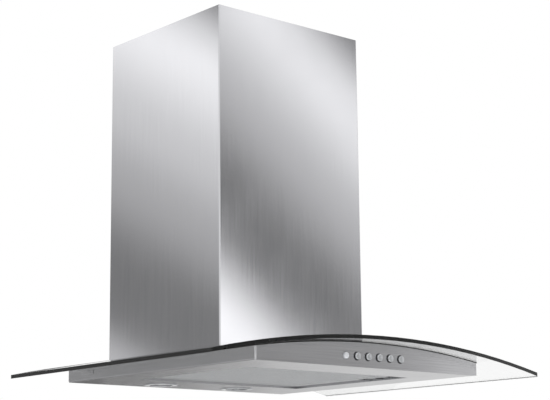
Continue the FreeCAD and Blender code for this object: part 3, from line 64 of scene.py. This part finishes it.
def add(tree, kind, inputs=None, **settings):
    """Adds a node; an input is a value, or another node's output, which is linked."""
    node = tree.nodes.new("ShaderNode" + kind)
    for name, value in settings.items():
        setattr(node, name, value)
    for name, value in (inputs or {}).items():
        socket = node.inputs[name]
        if isinstance(value, bpy.types.NodeSocket):
            tree.links.new(value, socket)
        else:
            socket.default_value = value
    return node


def new_material(name):
    """An empty material with its tree and its output node."""
    material = bpy.data.materials.new(name)
    material.use_nodes = True
    material.node_tree.nodes.clear()
    return material, material.node_tree, add(material.node_tree, "OutputMaterial")


def pattern_place(tree, size_mm):
    """Object coordinates counted in steps of size_mm along X, Y and Z."""
    place = add(tree, "TexCoord").outputs["Object"]
    scale = [1000 / step for step in size_mm]
    return add(tree, "Mapping", {"Vector": place, "Scale": scale}).outputs["Vector"]


def spread(tree, value, low, high):
    """Stretches a pattern's middle part to run from low to high, as most of a noise lies there."""
    return add(tree, "MapRange", {
        "Value": value, "From Min": PATTERN_LOW, "From Max": PATTERN_HIGH,
        "To Min": low, "To Max": high,
    }).outputs["Result"]


def blend_colours(tree, factor, first, second):
    """A colour that goes from first to second with the factor."""
    mixer = add(tree, "Mix", {0: factor, 6: linear(first), 7: linear(second)}, data_type="RGBA")
    return mixer.outputs[2]


def dress(material, *names):
    """Gives CAD nodes this material in every slot."""
    for name in names:
        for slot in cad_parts[name].material_slots:
            slot.material = material


print("steel grey in linear light:", [round(c, 3) for c in linear("#C8C8CA")[:3]])

# %% [markdown]
# ## Brushed stainless steel
# The hood is folded from stainless sheet with a number 4 finish: a belt has drawn fine straight
# scratches along one direction. The eye gets soft reflections with a faint streaky grain. The real
# scratches are about 0.1 mm wide, finer than a pixel, so they are drawn 0.7 mm wide and very weak. A
# second, cloudy pattern some 70 mm across stands for the uneven hand of polish and wiping.

# %% Stainless steel
GRAIN_WIDE = 0.7
GRAIN_LONG = 90
CLOUD = 70
SCRATCH_DEEP = 0.02
STREAK_SWING = 0.015
CLOUD_SWING = 0.01


def brushed_steel(name, darker, lighter, along, rough, relief_share):
    """Noise drawn out along axis 0, 1 or 2 (X, Y, Z); roughness is that streak plus the cloud."""
    material, tree, out = new_material(name)
    size = [GRAIN_WIDE] * 3
    size[along] = GRAIN_LONG
    grain = add(tree, "TexNoise", {"Vector": pattern_place(tree, size), "Scale": 1.0, "Detail": 3.0})
    cloud = add(tree, "TexNoise", {
        "Vector": pattern_place(tree, [CLOUD] * 3), "Scale": 1.0, "Detail": 2.0,
    })
    colour = blend_colours(tree, spread(tree, grain.outputs["Fac"], 0, 1), darker, lighter)
    streak = spread(tree, grain.outputs["Fac"], rough - STREAK_SWING, rough + STREAK_SWING)
    wiped = spread(tree, cloud.outputs["Fac"], -CLOUD_SWING, CLOUD_SWING)
    rough_both = add(tree, "Math", {0: streak, 1: wiped}, operation="ADD")
    relief = add(tree, "Bump", {
        "Height": grain.outputs["Fac"], "Strength": relief_share, "Distance": SCRATCH_DEEP * MM,
    })
    shader = add(tree, "BsdfPrincipled", {
        "Base Color": colour, "Metallic": 1.0, "Roughness": rough_both.outputs[0],
        "Normal": relief.outputs["Normal"],
    })
    tree.links.new(shader.outputs[0], out.inputs["Surface"])
    return material


chimney_steel = brushed_steel("stainless_brushed_upright", "#C9C9CC", "#CDCDD0", 2, 0.12, 0.03)
# The canopy pan's copy of the same stainless is drawn darker than the chimney's: painted shade for its
# underside and side walls.
shaded_pan_steel = brushed_steel("stainless_brushed_across_shaded", "#ABABAD", "#B5B5B7", 1, 0.22, 0.08)
fascia_steel = brushed_steel("stainless_brushed_fascia", "#B4B4B6", "#C6C6C8", 0, 0.22, 0.10)
dress(chimney_steel, "chimney_cover", "chimney_extension")
dress(shaded_pan_steel, "canopy_body")
dress(fascia_steel, "fascia")
print("three brushed steels on four CAD nodes")

# %% [markdown]
# ## Galvanised sheet
# The deck, throat, blower chamber, wall bracket and fan wheel lie under the glass or inside the
# chimney, so they are cheaper hot-dip galvanised sheet. Zinc freezes in crystals, the spangle, each
# with its own shade. Voronoi cells give just that: one random value for each patch, here about 9 mm
# wide.

# %% Galvanised sheet
SPANGLE = 9
ZINC_ROUGH = (0.36, 0.5)


def galvanised_sheet():
    """Zinc crystals: each cell has one shade, and the paler it is, the rougher."""
    material, tree, out = new_material("galvanised_spangle")
    cells = add(tree, "TexVoronoi", {
        "Vector": pattern_place(tree, [SPANGLE] * 3), "Scale": 1.0, "Randomness": 1.0,
    })
    shade = add(tree, "SeparateColor", {"Color": cells.outputs["Color"]}).outputs[0]
    colour = blend_colours(tree, shade, "#A9ADB0", "#C3C6C8")
    rough = add(tree, "MapRange", {
        "Value": shade, "To Min": ZINC_ROUGH[0], "To Max": ZINC_ROUGH[1],
    }).outputs["Result"]
    shader = add(tree, "BsdfPrincipled", {
        "Base Color": colour, "Metallic": 1.0, "Roughness": rough,
    })
    tree.links.new(shader.outputs[0], out.inputs["Surface"])
    return material


galvanised = galvanised_sheet()
dress(galvanised, "top_deck", "air_throat", "blower_chamber", "wall_bracket", "impeller",
      "impeller_ring_left", "impeller_ring_right", "impeller_blades_left", "impeller_blades_right")
print("spangle cells are", SPANGLE, "mm wide")

# %% [markdown]
# ## Other metals
# Zinc-plated screws and brackets are satin and faintly blue. Satin chrome on the buttons and bright
# chrome on the lamp rims are smoother. Mill-finish aluminium has soft rolling lines. One recipe serves
# them all: a colour that wavers a little with a fine noise, and a roughness that wavers with it.

# %% Plain metals
METAL_PITS = 0.03
METAL_SWING = 0.05


def fine_metal(name, darker, lighter, rough, size_mm, bump=0.05):
    """A metal whose shade and roughness waver with a noise of the given size along X, Y and Z."""
    material, tree, out = new_material(name)
    noise = add(tree, "TexNoise", {
        "Vector": pattern_place(tree, size_mm), "Scale": 1.0, "Detail": 4.0,
    }).outputs["Fac"]
    relief = add(tree, "Bump", {"Height": noise, "Strength": bump, "Distance": METAL_PITS * MM})
    shader = add(tree, "BsdfPrincipled", {
        "Base Color": blend_colours(tree, spread(tree, noise, 0, 1), darker, lighter),
        "Metallic": 1.0,
        "Roughness": spread(tree, noise, rough - METAL_SWING, rough + METAL_SWING),
        "Normal": relief.outputs["Normal"],
    })
    tree.links.new(shader.outputs[0], out.inputs["Surface"])
    return material


zinc_plate = fine_metal("zinc_plated_steel", "#AEB2B6", "#C6C9CC", 0.34, [1.5, 1.5, 1.5])
satin_chrome = fine_metal("satin_chrome", "#CDCFD2", "#DCDEE0", 0.18, [0.8, 0.8, 0.8], 0.02)
# The lamp rims' bright chrome is drawn darker than real chrome and than the buttons' satin chrome:
# painted shade for the dark ring that the rims mirror.
shaded_bright_chrome = fine_metal("shaded_bright_chrome", "#AAACAF", "#B4B6B9", 0.1, [4, 4, 4], 0.01)
rolled_aluminium = fine_metal("rolled_aluminium", "#C4C5C7", "#D4D5D6", 0.36, [0.8, 40, 0.8])
foil_aluminium = fine_metal("expanded_foil", "#D8D9DA", "#ECEDEE", 0.4, [2, 2, 2], 0.2)
dress(zinc_plate, "glass_rest_left", "glass_rest_right", "glass_screws", "glass_nuts",
      "throat_screws", "chimney_screws", "motor_shaft", "motor_bracket", "damper_pin",
      "lamp_can_left", "lamp_can_right")
dress(satin_chrome, *[f"button_{n}" for n in range(1, 6)])
dress(shaded_bright_chrome, "lamp_bezel_left", "lamp_bezel_right")
dress(rolled_aluminium, "filter_frame")
dress(foil_aluminium, "filter_mesh", "filter_core")
print("five plain metals")

# %% [markdown]
# ## Plastics, rubber, paint and ceramic
# Moulded plastic has a fine spark-eroded texture, rubber is matt and nearly black, the motor has stoved
# paint with a slight orange peel, and the lamp holder is unglazed steatite. The same recipe without
# metal serves: only colour, gloss and the size of the bumps differ.

# %% Moulded and painted finishes
MOULD_PITS = 0.05
MOULD_SWING = 0.06


def moulded(name, darker, lighter, rough, size_mm, bump):
    """A non-metal whose shade wavers a little, with bumps of the given size."""
    material, tree, out = new_material(name)
    noise = add(tree, "TexNoise", {
        "Vector": pattern_place(tree, [size_mm] * 3), "Scale": 1.0, "Detail": 3.0,
    }).outputs["Fac"]
    relief = add(tree, "Bump", {"Height": noise, "Strength": bump, "Distance": MOULD_PITS * MM})
    shader = add(tree, "BsdfPrincipled", {
        "Base Color": blend_colours(tree, spread(tree, noise, 0, 1), darker, lighter),
        "Roughness": spread(tree, noise, rough - MOULD_SWING, rough + MOULD_SWING),
        "Normal": relief.outputs["Normal"],
    })
    tree.links.new(shader.outputs[0], out.inputs["Surface"])
    return material


black_rubber = moulded("extruded_rubber", "#0C0C0C", "#161616", 0.62, 0.8, 0.2)
black_plastic = moulded("moulded_black_plastic", "#141415", "#1E1E1F", 0.45, 0.6, 0.3)
grey_plastic = moulded("moulded_grey_plastic", "#6A6B6D", "#77787A", 0.48, 0.6, 0.3)
pale_plastic = moulded("moulded_pale_grey_plastic", "#A2A3A5", "#AEAFB1", 0.42, 0.6, 0.25)
white_plastic = moulded("moulded_white_plastic", "#DCDAD4", "#E6E4DF", 0.4, 0.6, 0.25)
motor_paint = moulded("stoved_grey_paint", "#3A3C3F", "#45474A", 0.35, 2.2, 0.25)
steatite = moulded("unglazed_steatite", "#D9D2C2", "#E8E2D4", 0.7, 0.5, 0.3)
dress(black_rubber, "glass_seal", "glass_grommets")
dress(black_plastic, "switch_box", "outlet_collar", "damper_flap_front", "damper_flap_rear",
      "cable_gland")
dress(pale_plastic, "filter_latch")
dress(grey_plastic, "lamp_transformer", "terminal_box", "inlet_ring_left", "inlet_ring_right")
dress(white_plastic, "scroll_left", "scroll_right", "capacitor")
dress(motor_paint, "motor_body")
dress(steatite, "lamp_holder_left", "lamp_holder_right")
print("seven moulded and painted finishes")

# %% [markdown]
# ## Glass
# The canopy is 5 mm toughened glass, bent in a furnace. Through its face it looks almost clear, but
# light that enters by an edge travels far inside and is swallowed, which is why the polished edge of
# such a pane looks nearly black. A shader alone can't do that: the glass gets a volume that absorbs a
# little of the light for each millimetre, so little that about 95 % gets straight through the pane.
# The furnace also leaves a very shallow, wide ripple.

# %% Canopy glass
PANE_THICK = 5
PASS_SHARE = 0.93
RIPPLE_WIDE = 160
RIPPLE_DEEP = 0.3
GLASS_IOR = 1.52


def clear_glass():
    """Clear faces over an absorbing volume: density = -ln(share that passes) / thickness.

    The volume takes density * (1 - its colour), so its grey lets a little more than that share pass.
    """
    material, tree, out = new_material("toughened_glass")
    ripple = add(tree, "TexNoise", {
        "Vector": pattern_place(tree, [RIPPLE_WIDE] * 3), "Scale": 1.0, "Detail": 0.0,
    }).outputs["Fac"]
    relief = add(tree, "Bump", {"Height": ripple, "Strength": 0.1, "Distance": RIPPLE_DEEP * MM})
    shader = add(tree, "BsdfPrincipled", {
        "Base Color": (1, 1, 1, 1), "Roughness": 0.0, "IOR": GLASS_IOR,
        "Transmission Weight": 1.0, "Normal": relief.outputs["Normal"],
    })
    density = -math.log(PASS_SHARE) / (PANE_THICK * MM)
    tint = add(tree, "VolumeAbsorption", {"Color": linear("#8F9492"), "Density": density})
    tree.links.new(shader.outputs[0], out.inputs["Surface"])
    tree.links.new(tint.outputs[0], out.inputs["Volume"])
    return material, density


canopy_glass, canopy_density = clear_glass()
dress(canopy_glass, "glass_canopy")
print("absorption per metre of glass:", round(canopy_density, 1))

# %% [markdown]
# The lamps have lightly frosted lenses over a clear bulb, and the pilot light has a polished white
# plastic lens. Frosting is glass whose faces were roughened by fine grit, so what lies behind is
# softened. Grit of half a millimetre is coarser than the real one, so that it shows.

# %% Lamp glass and pilot lens
LAMP_GLASS_IOR = 1.5
GRIT = 0.5
GRIT_DEEP = 0.05
SPECK = 1.2


def lamp_glass(name, rough, tint):
    """Glass with faces of the given roughness and a fine grit on them."""
    material, tree, out = new_material(name)
    grit = add(tree, "TexNoise", {
        "Vector": pattern_place(tree, [GRIT] * 3), "Scale": 1.0, "Detail": 2.0,
    }).outputs["Fac"]
    relief = add(tree, "Bump", {"Height": grit, "Strength": 0.15, "Distance": GRIT_DEEP * MM})
    shader = add(tree, "BsdfPrincipled", {
        "Base Color": linear(tint), "Roughness": rough, "IOR": LAMP_GLASS_IOR,
        "Transmission Weight": 1.0, "Normal": relief.outputs["Normal"],
    })
    tree.links.new(shader.outputs[0], out.inputs["Surface"])
    return material


frosted = lamp_glass("frosted_lamp_glass", 0.04, "#F8F8F7")
bulb_glass = lamp_glass("clear_bulb_glass", 0.02, "#FBFBFA")
dress(frosted, "lamp_lens_left", "lamp_lens_right")
dress(bulb_glass, "lamp_bulb_left", "lamp_bulb_right")


def polished_lens():
    """White plastic whose shade wavers by a speck of moulding flow, under a polished skin."""
    material, tree, out = new_material("polished_white_lens")
    speck = add(tree, "TexNoise", {
        "Vector": pattern_place(tree, [SPECK] * 3), "Scale": 1.0, "Detail": 2.0,
    }).outputs["Fac"]
    shader = add(tree, "BsdfPrincipled", {
        "Base Color": blend_colours(tree, spread(tree, speck, 0, 1), "#C6C8CC", "#D2D4D8"),
        "Roughness": 0.12, "Coat Weight": 0.6, "Coat Roughness": 0.05,
    })
    tree.links.new(shader.outputs[0], out.inputs["Surface"])
    return material


dress(polished_lens(), "pilot_lens")
print("lamp glass, bulb glass and pilot lens")

# %% [markdown]
# ## Surfaces from grids
# Every new piece is a grid of points put into a mesh: rows and columns become four-sided faces, and a
# direction that closes on itself joins its last column to its first. One function numbers the faces
# with whole arrays, and another makes the mesh object and sets it on its CAD body.

# %% Grids to meshes
def grid_faces(rows, columns, close_rows=False, close_columns=False):
    """Vertex numbers of the grid's quads, each wound the same way."""
    r = np.arange(rows if close_rows else rows - 1)
    c = np.arange(columns if close_columns else columns - 1)
    r, c = (a.ravel() for a in np.meshgrid(r, c, indexing="ij"))
    below, right = (r + 1) % rows, (c + 1) % columns
    return np.stack([r * columns + c, r * columns + right, below * columns + right,
                     below * columns + c], axis=1)


def piece(name, points, faces, material, body, smooth=True):
    """A mesh object from points in millimetres, riding on a CAD body."""
    mesh = bpy.data.meshes.new(name)
    mesh.from_pydata((points * MM).tolist(), [], faces.tolist())
    mesh.materials.append(material)
    if smooth:
        mesh.shade_smooth()
    else:
        mesh.shade_flat()
    mesh.validate()
    thing = bpy.data.objects.new(name, mesh)
    bpy.context.scene.collection.objects.link(thing)
    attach(thing, body)
    return thing


print("a 3 x 4 grid has", len(grid_faces(3, 4)), "faces")

# %% [markdown]
# ## The filter's expanded metal
# The grease filter shows a sheet of expanded aluminium: the sheet is slit and stretched, and the slits
# open into diamonds. Each strand runs zigzag from side to side and touches its neighbour at every
# bend. So one strand is a triangle wave, and the whole net is that strand repeated, every second one
# mirrored. The strands are 0.9 mm wide, a little more than the real ones, so that they show.

# %% Expanded metal
CELL_LONG = 9.0
CELL_WIDE = 4.6
STRAND = 0.9
NET_LOW = 3.25
NET_HIGH = 3.95
FRAME_RIM = 13
LATCH_SIDE_GAP = 1


def expanded_net(low, high):
    """Zigzag strands along X: each is a triangle wave in y, carried by a four-sided profile."""
    columns = int((high[0] - low[0]) / (CELL_LONG / 4)) + 1
    x = np.linspace(low[0], high[0], columns)
    pitch = CELL_WIDE / 2
    strands = int((high[1] - low[1]) / pitch) - 1
    wave = np.array([0.0, 0.5, 1.0, 0.5])[np.arange(columns) % 4] - 0.5
    number = np.arange(strands)
    sign = np.where(number % 2, -1.0, 1.0)
    swing = pitch - STRAND / 2
    middle = low[1] + pitch + number * pitch
    y = middle[:, None] + sign[:, None] * wave[None, :] * swing
    points = np.empty((strands, columns, 4, 3))
    points[..., 0] = x[None, :, None]
    points[..., 1] = y[..., None] + np.array([-0.5, 0.5, 0.5, -0.5]) * STRAND
    points[..., 2] = [NET_LOW, NET_LOW, NET_HIGH, NET_HIGH]
    one = grid_faces(columns, 4, close_columns=True)
    starts = np.arange(strands) * columns * 4
    faces = (one[None] + starts[:, None, None]).reshape(-1, 4)
    ends = np.array([[0, 3, 2, 1], (columns - 1) * 4 + np.array([0, 1, 2, 3])])
    caps = (ends[None] + starts[:, None, None]).reshape(-1, 4)
    return points.reshape(-1, 3), np.vstack([faces[:, ::-1], caps[:, ::-1]])


core_low, core_high = (np.array(corner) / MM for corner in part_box("filter_core"))
net_points, net_faces = expanded_net(
    (core_low[0] + FRAME_RIM, core_low[1] + FRAME_RIM),
    (core_high[0] - LATCH_SIDE_GAP, core_high[1] - FRAME_RIM),
)
piece("filter_net", net_points, net_faces, foil_aluminium, "grease_filter",
      smooth=False)
print("expanded metal:", len(net_faces), "faces")

# %% [markdown]
# ## Lamp reflectors
# Behind each lens sits a pressed reflector: a bowl with shallow facets round it, which scatter the
# image of the bulb. It is a surface of revolution whose radius is pinched a little between facets.

# %% Lamp reflectors
FACETS = 18
FACET_STEPS = 6
BOWL_ROWS = 17
MOUTH_ROUND = 16.2
NECK_ROUND = 5.4
MOUTH_LEVEL = 2.6
BOWL_TALL = 9.5
PINCH = 0.02
BOWL_SHEET = 0.3


def reflector(centre):
    """A bowl: radius and height follow a quarter ellipse, and a cosine pinches it between facets."""
    turn = np.linspace(0, 2 * math.pi, FACETS * FACET_STEPS, endpoint=False)
    rise = np.linspace(0, 1, BOWL_ROWS)
    radius = NECK_ROUND + (MOUTH_ROUND - NECK_ROUND) * np.sqrt(1 - rise ** 2)
    height = MOUTH_LEVEL + BOWL_TALL * rise
    pinch = 1 - PINCH * np.abs(np.cos(turn * FACETS / 2))
    points = np.empty((len(rise), len(turn), 3))
    points[..., 0] = centre[0] + radius[:, None] * np.cos(turn) * pinch
    points[..., 1] = centre[1] + radius[:, None] * np.sin(turn) * pinch
    points[..., 2] = height[:, None]
    faces = grid_faces(len(rise), len(turn), close_columns=True)
    return points.reshape(-1, 3), faces[:, ::-1]


mirror_coat = fine_metal("aluminised_reflector", "#DADCDE", "#E6E8EA", 0.1, [3, 3, 3], 0.01)
for side in ("left", "right"):
    low, high = (np.array(corner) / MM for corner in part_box(f"lamp_lens_{side}"))
    points, faces = reflector((low + high) / 2)
    bowl = piece(f"lamp_reflector_{side}", points, faces, mirror_coat, "hood")
    wall = bowl.modifiers.new("sheet", "SOLIDIFY")
    wall.thickness = BOWL_SHEET * MM
print("reflectors with", FACETS, "facets round")

# %% [markdown]
# ## Button guides with painted shade
# Each push button slides in a black moulded guide that is snapped into the fascia from the front. Its
# lip shows as a thin dark ring between the bright cap and the steel: partly the guide's own black,
# partly painted shade that stands for the gap and the shadow round each cap.
# A bevelled cylinder would do, but the real lip is half-round: half an ellipse is carried round a
# circle, and closed by a flat back.

# %% Button guides with painted shade
CAP_RADIUS = 4.6
SHADE_GUIDE_GAP = 0.35
SHADE_GUIDE_WIDE = 0.8
SHADE_GUIDE_PROUD = 0.5
SHADE_GUIDE_STEPS = 48
ARCH_STEPS = 9


def shade_guide_lips(places, face_y):
    """Rings round the places (x, z): the radius follows 1 - cos, and how proud it is follows sin."""
    turn = np.linspace(0, 2 * math.pi, SHADE_GUIDE_STEPS, endpoint=False)
    arch = np.linspace(0, math.pi, ARCH_STEPS)
    radius = CAP_RADIUS + SHADE_GUIDE_GAP + SHADE_GUIDE_WIDE / 2 * (1 - np.cos(arch))
    points = np.empty((len(places), len(turn), len(arch), 3))
    points[..., 0] = places[:, 0, None, None] + np.cos(turn)[:, None] * radius
    points[..., 1] = face_y - SHADE_GUIDE_PROUD * np.sin(arch)
    points[..., 2] = places[:, 1, None, None] + np.sin(turn)[:, None] * radius
    one = grid_faces(len(turn), len(arch), close_rows=True, close_columns=True)
    starts = np.arange(len(places)) * len(turn) * len(arch)
    faces = (one[None] + starts[:, None, None]).reshape(-1, 4)
    return points.reshape(-1, 3), faces


button_boxes = np.array([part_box(f"button_{number}") for number in range(1, 6)]) / MM
button_places = button_boxes.mean(axis=1)[:, [0, 2]]
fascia_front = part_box("fascia")[0][1] / MM
shade_guide_points, shade_guide_quads = shade_guide_lips(button_places, fascia_front)
# The black lip round each cap is partly painted shade, for the gap and the cap's shadow, on a guide's
# shape.
piece("button_shade_guides", shade_guide_points, shade_guide_quads, black_plastic, "hood")
print("guides round", len(button_places), "buttons")

# %% [markdown]
# ## Studio
# The hood hangs in white space over a pale floor, 1.55 m below, where a cook would stand. The floor
# keeps the shadow and fades to white further out. The world and soft lamps give a plain level.
# Polished sheet shows what stands round it, so large soft cards stand out of the camera's sight, as a
# product photographer puts them: their slanting gradients give the flat chimney its bands of light
# and dark.

# %% White space and floor
FLOOR_LEVEL = -1550
FLOOR_SIZE = 40000
FLOOR_FADE = (900, 3200)
WORLD_LEVEL = 0.86


def white_world():
    """White for the camera, for mirror rays and through glass; soft light for the rest."""
    world = bpy.data.worlds.new("studio_world")
    world.use_nodes = True
    tree = world.node_tree
    tree.nodes.clear()
    path = add(tree, "LightPath")
    seen = add(tree, "Math", {0: path.outputs["Is Camera Ray"], 1: path.outputs["Is Glossy Ray"]},
               operation="MAXIMUM")
    seen = add(tree, "Math", {0: seen.outputs[0], 1: path.outputs["Is Transmission Ray"]},
               operation="MAXIMUM")
    strength = add(tree, "MapRange", {
        "Value": seen.outputs[0], "To Min": WORLD_LEVEL, "To Max": 1.0,
    })
    light = add(tree, "Background", {"Color": (1, 1, 1, 1), "Strength": strength.outputs[0]})
    out = add(tree, "OutputWorld")
    tree.links.new(light.outputs[0], out.inputs["Surface"])
    bpy.context.scene.world = world


def stage_plane(name, centre, size, material, facing=None):
    """A flat card of the given width and height, facing a point, or flat on the ground."""
    w, h = size[0] / 2, size[1] / 2
    corners = np.array([(-w, -h, 0), (w, -h, 0), (w, h, 0), (-w, h, 0)]) * MM
    mesh = bpy.data.meshes.new(name)
    mesh.from_pydata(corners.tolist(), [], [(0, 1, 2, 3)])
    mesh.materials.append(material)
    thing = bpy.data.objects.new(name, mesh)
    bpy.context.scene.collection.objects.link(thing)
    turned = Matrix()
    if facing is not None:
        look = (Vector(facing) - Vector(centre)).normalized()
        turned = look.to_track_quat("Z", "Y").to_matrix().to_4x4()
    thing.matrix_world = Matrix.Translation(Vector(centre) * MM) @ turned
    return thing


def floor_paint():
    """Pale near the middle, glowing white from FLOOR_FADE outwards, and clear seen from below."""
    material, tree, out = new_material("pale_floor")
    place = add(tree, "TexCoord").outputs["Object"]
    away = add(tree, "VectorMath", {0: place}, operation="LENGTH").outputs["Value"]
    share = add(tree, "MapRange", {
        "Value": away, "From Min": FLOOR_FADE[0] * MM, "From Max": FLOOR_FADE[1] * MM,
    }, interpolation_type="SMOOTHSTEP").outputs["Result"]
    paint = add(tree, "BsdfDiffuse", {"Color": linear("#F8F8F8")})
    white = add(tree, "Emission", {"Color": (1, 1, 1, 1), "Strength": 1.0})
    both = add(tree, "MixShader", {0: share, 1: paint.outputs[0], 2: white.outputs[0]})
    under = add(tree, "NewGeometry").outputs["Backfacing"]
    clear = add(tree, "BsdfTransparent")
    shown = add(tree, "MixShader", {0: under, 1: both.outputs[0], 2: clear.outputs[0]})
    tree.links.new(shown.outputs[0], out.inputs["Surface"])
    return material


white_world()
stage_plane("floor", (0, 0, FLOOR_LEVEL), (FLOOR_SIZE, FLOOR_SIZE), floor_paint())
print("floor at", FLOOR_LEVEL, "mm")

# %% [markdown]
# A card glows only for mirror rays, and some cards for rays through glass too, so they change no
# other light. A card's brightness is one ramp of a few stops, laid across it at a slant. Each stop is
# a place along that slant in millimetres from the card's middle, and the light that it gives there.
# Four cards serve the chimney's front and left side, the fascia and the canopy's side wall. A fifth
# stands behind the hood and a little below it, and shows in the underside. A sixth lies flat below
# for the lower bends. The last three are plain surroundings, so that the hood looks like metal from
# the front, the right and the left corner too. The fascia's card stands square to its mirrored rays:
# parallel to the fascia, it would show in the chimney as well.

# %% Reflector cards
def gradient_card(name, in_glass, centre, facing, size, turn, stops):
    """A card that glows by t = x cos(turn) + y sin(turn), in mm, through the stops (t, light).

    Where in_glass is True, it shows through glass as well.
    """
    material, tree, out = new_material(name + "_glow")
    place = add(tree, "TexCoord").outputs["Object"]
    turned = add(tree, "VectorRotate", {"Vector": place, "Angle": -math.radians(turn)},
                 rotation_type="Z_AXIS")
    along = add(tree, "SeparateXYZ", {"Vector": turned.outputs[0]}).outputs[0]
    first, last = stops[0][0], stops[-1][0]
    level = add(tree, "MapRange", {
        "Value": along, "From Min": first * MM, "From Max": last * MM,
    }).outputs["Result"]
    brightest = max(light for _, light in stops)
    ramp = add(tree, "ValToRGB", {"Fac": level})
    band = ramp.color_ramp
    band.interpolation = "EASE"
    while len(band.elements) < len(stops):
        band.elements.new(0.5)
    for element, (spot, light) in zip(band.elements, stops):
        share = light / brightest
        element.position = (spot - first) / (last - first)
        element.color = (share, share, share, 1)
    glow = add(tree, "Emission", {"Color": ramp.outputs["Color"], "Strength": brightest})
    tree.links.new(glow.outputs[0], out.inputs["Surface"])
    card = stage_plane(name, centre, size, material, facing)
    card.visible_camera = False
    card.visible_diffuse = False
    card.visible_shadow = False
    card.visible_transmission = in_glass


CARDS = (
    ("card_front", True, (1426, -1869, 746), (0, -260, 279), (1300, 1100), 138,
     [(-600, 1.8), (-410, 1.8), (-345, 1.25), (-260, 0.24), (-140, 0.24), (50, 0.76),
      (270, 1.5), (320, 1.3), (395, 0.2), (600, 0.25)]),
    ("card_left", True, (-1414, 1598, 739), (-133, -130, 277), (1300, 1500), 121,
     [(-600, 0.9), (-510, 0.85), (-400, 0.27), (-260, 0.27), (-40, 0.63), (120, 0.93),
      (370, 1.5), (430, 1.2), (540, 0.3), (700, 0.3)]),
    ("card_fascia", True, (100, -600, -43), (-70, -353, -43), (480, 230), 180,
     [(-240, 0.4), (-114, 0.4), (-15, 0.48), (79, 0.54), (134, 0.68), (173, 0.84),
      (212, 0.93), (240, 1.0)]),
    ("card_side", True, (-480, 170, -38), (0, 170, -38), (900, 226), 0,
     [(-400, 0.54), (400, 0.48)]),
    ("card_under", False, (970, 940, -125), (0, -200, 0), (2600, 700), 0,
     [(-700, 0.17), (-460, 0.17), (-330, 0.2), (-220, 0.28), (-110, 0.43), (-40, 0.58),
      (30, 0.72), (130, 0.78), (215, 0.82), (700, 0.95)]),
    ("card_below", False, (200, 400, -800), (200, 400, 0), (2600, 2600), 45,
     [(-1800, 0.6), (-900, 0.35), (-552, 0.28), (-200, 0.35), (218, 0.55), (700, 0.95),
      (1600, 1.1)]),
    ("card_ahead", False, (0, -3200, 450), (0, 0, 450), (1500, 2200), 62,
     [(-1000, 0.45), (-430, 0.45), (-230, 1.05), (-60, 1.15), (150, 0.5), (330, 0.45),
      (560, 0.95), (1000, 1.2)]),
    ("card_right", False, (3200, -130, 450), (0, -130, 450), (1500, 2200), 118,
     [(-900, 0.9), (-500, 1.1), (-150, 0.5), (150, 0.45), (500, 0.9), (900, 1.2)]),
    ("card_corner", False, (-2450, -2450, -620), (0, 0, 150), (1800, 1800), 60,
     [(-900, 0.5), (-400, 0.4), (0, 0.55), (500, 1.1), (900, 1.2)]),
)
for card_row in CARDS:
    gradient_card(*card_row)
print("gradient cards:", len(CARDS))

# %% [markdown]
# ## Lamps
# Three large area lamps give plain soft light: a key from the upper left, a fill from the right and
# a low one that lifts the underside. A thin fourth one, behind and below the hood, is the only one
# that shows in polished metal: it gives the chromed lamp rims a spark of light.

# %% Area lamps
def area_lamp(name, place, target, size, power, mirrored=False):
    """A rectangular lamp at a place, aimed at a target, in mm and watts."""
    data = bpy.data.lights.new(name, "AREA")
    data.shape = "RECTANGLE"
    data.size, data.size_y = size[0] * MM, size[1] * MM
    data.energy = power
    lamp = bpy.data.objects.new(name, data)
    bpy.context.scene.collection.objects.link(lamp)
    lamp.location = Vector(place) * MM
    look = Vector(target) - Vector(place)
    lamp.rotation_euler = look.to_track_quat("-Z", "Y").to_euler()
    lamp.visible_glossy = mirrored
    lamp.visible_transmission = False


area_lamp("key_lamp", (-1900, -2000, 1900), (0, -200, 150), (1400, 1400), 30)
area_lamp("fill_lamp", (2200, -1500, 900), (0, -200, 150), (1600, 1600), 14)
area_lamp("low_lamp", (-300, -1200, -1300), (0, -200, 0), (1600, 1200), 8)
area_lamp("strip_lamp", (700, 972, -103), (0, -44, 0), (300, 16), 0.02, mirrored=True)
print("four area lamps, of which one shows in polished metal")

# %% [markdown]
# ## Camera
# The photographer stood to the left, a little below the hood, and looked up. The camera's place, turn
# and lens were worked out by fitting a pinhole camera to the corners of the chimney and the glass.

# %% Camera
CAMERA_PLACE = (-1402.65, -1842.58, -181.42)
TURN, PITCH, ROLL = -40.869, 11.567, -0.565
SENSOR = 36
PICTURE_WIDE = 550
FOCAL_PIXELS = 1512.96
LENS = SENSOR * FOCAL_PIXELS / PICTURE_WIDE
FAR_CLIP = 100


def photo_camera():
    """Turns about Z, then pitches up, then rolls; the lens is the focal length on the sensor."""
    a, p, r = (math.radians(v) for v in (TURN, PITCH, ROLL))
    ahead = Vector((-math.sin(a) * math.cos(p), math.cos(a) * math.cos(p), math.sin(p)))
    right = Vector((math.cos(a), math.sin(a), 0))
    up = right.cross(ahead)
    right, up = (math.cos(r) * right + math.sin(r) * up, -math.sin(r) * right + math.cos(r) * up)
    data = bpy.data.cameras.new("photo_camera")
    data.sensor_width = SENSOR
    data.lens = LENS
    data.clip_end = FAR_CLIP
    camera = bpy.data.objects.new("photo_camera", data)
    bpy.context.scene.collection.objects.link(camera)
    turned = Matrix((right, up, -ahead)).transposed().to_4x4()
    camera.matrix_world = Matrix.Translation(Vector(CAMERA_PLACE) * MM) @ turned
    bpy.context.scene.camera = camera


photo_camera()
bpy.context.scene.view_settings.view_transform = "Standard"
print("lens", round(LENS, 2), "mm")
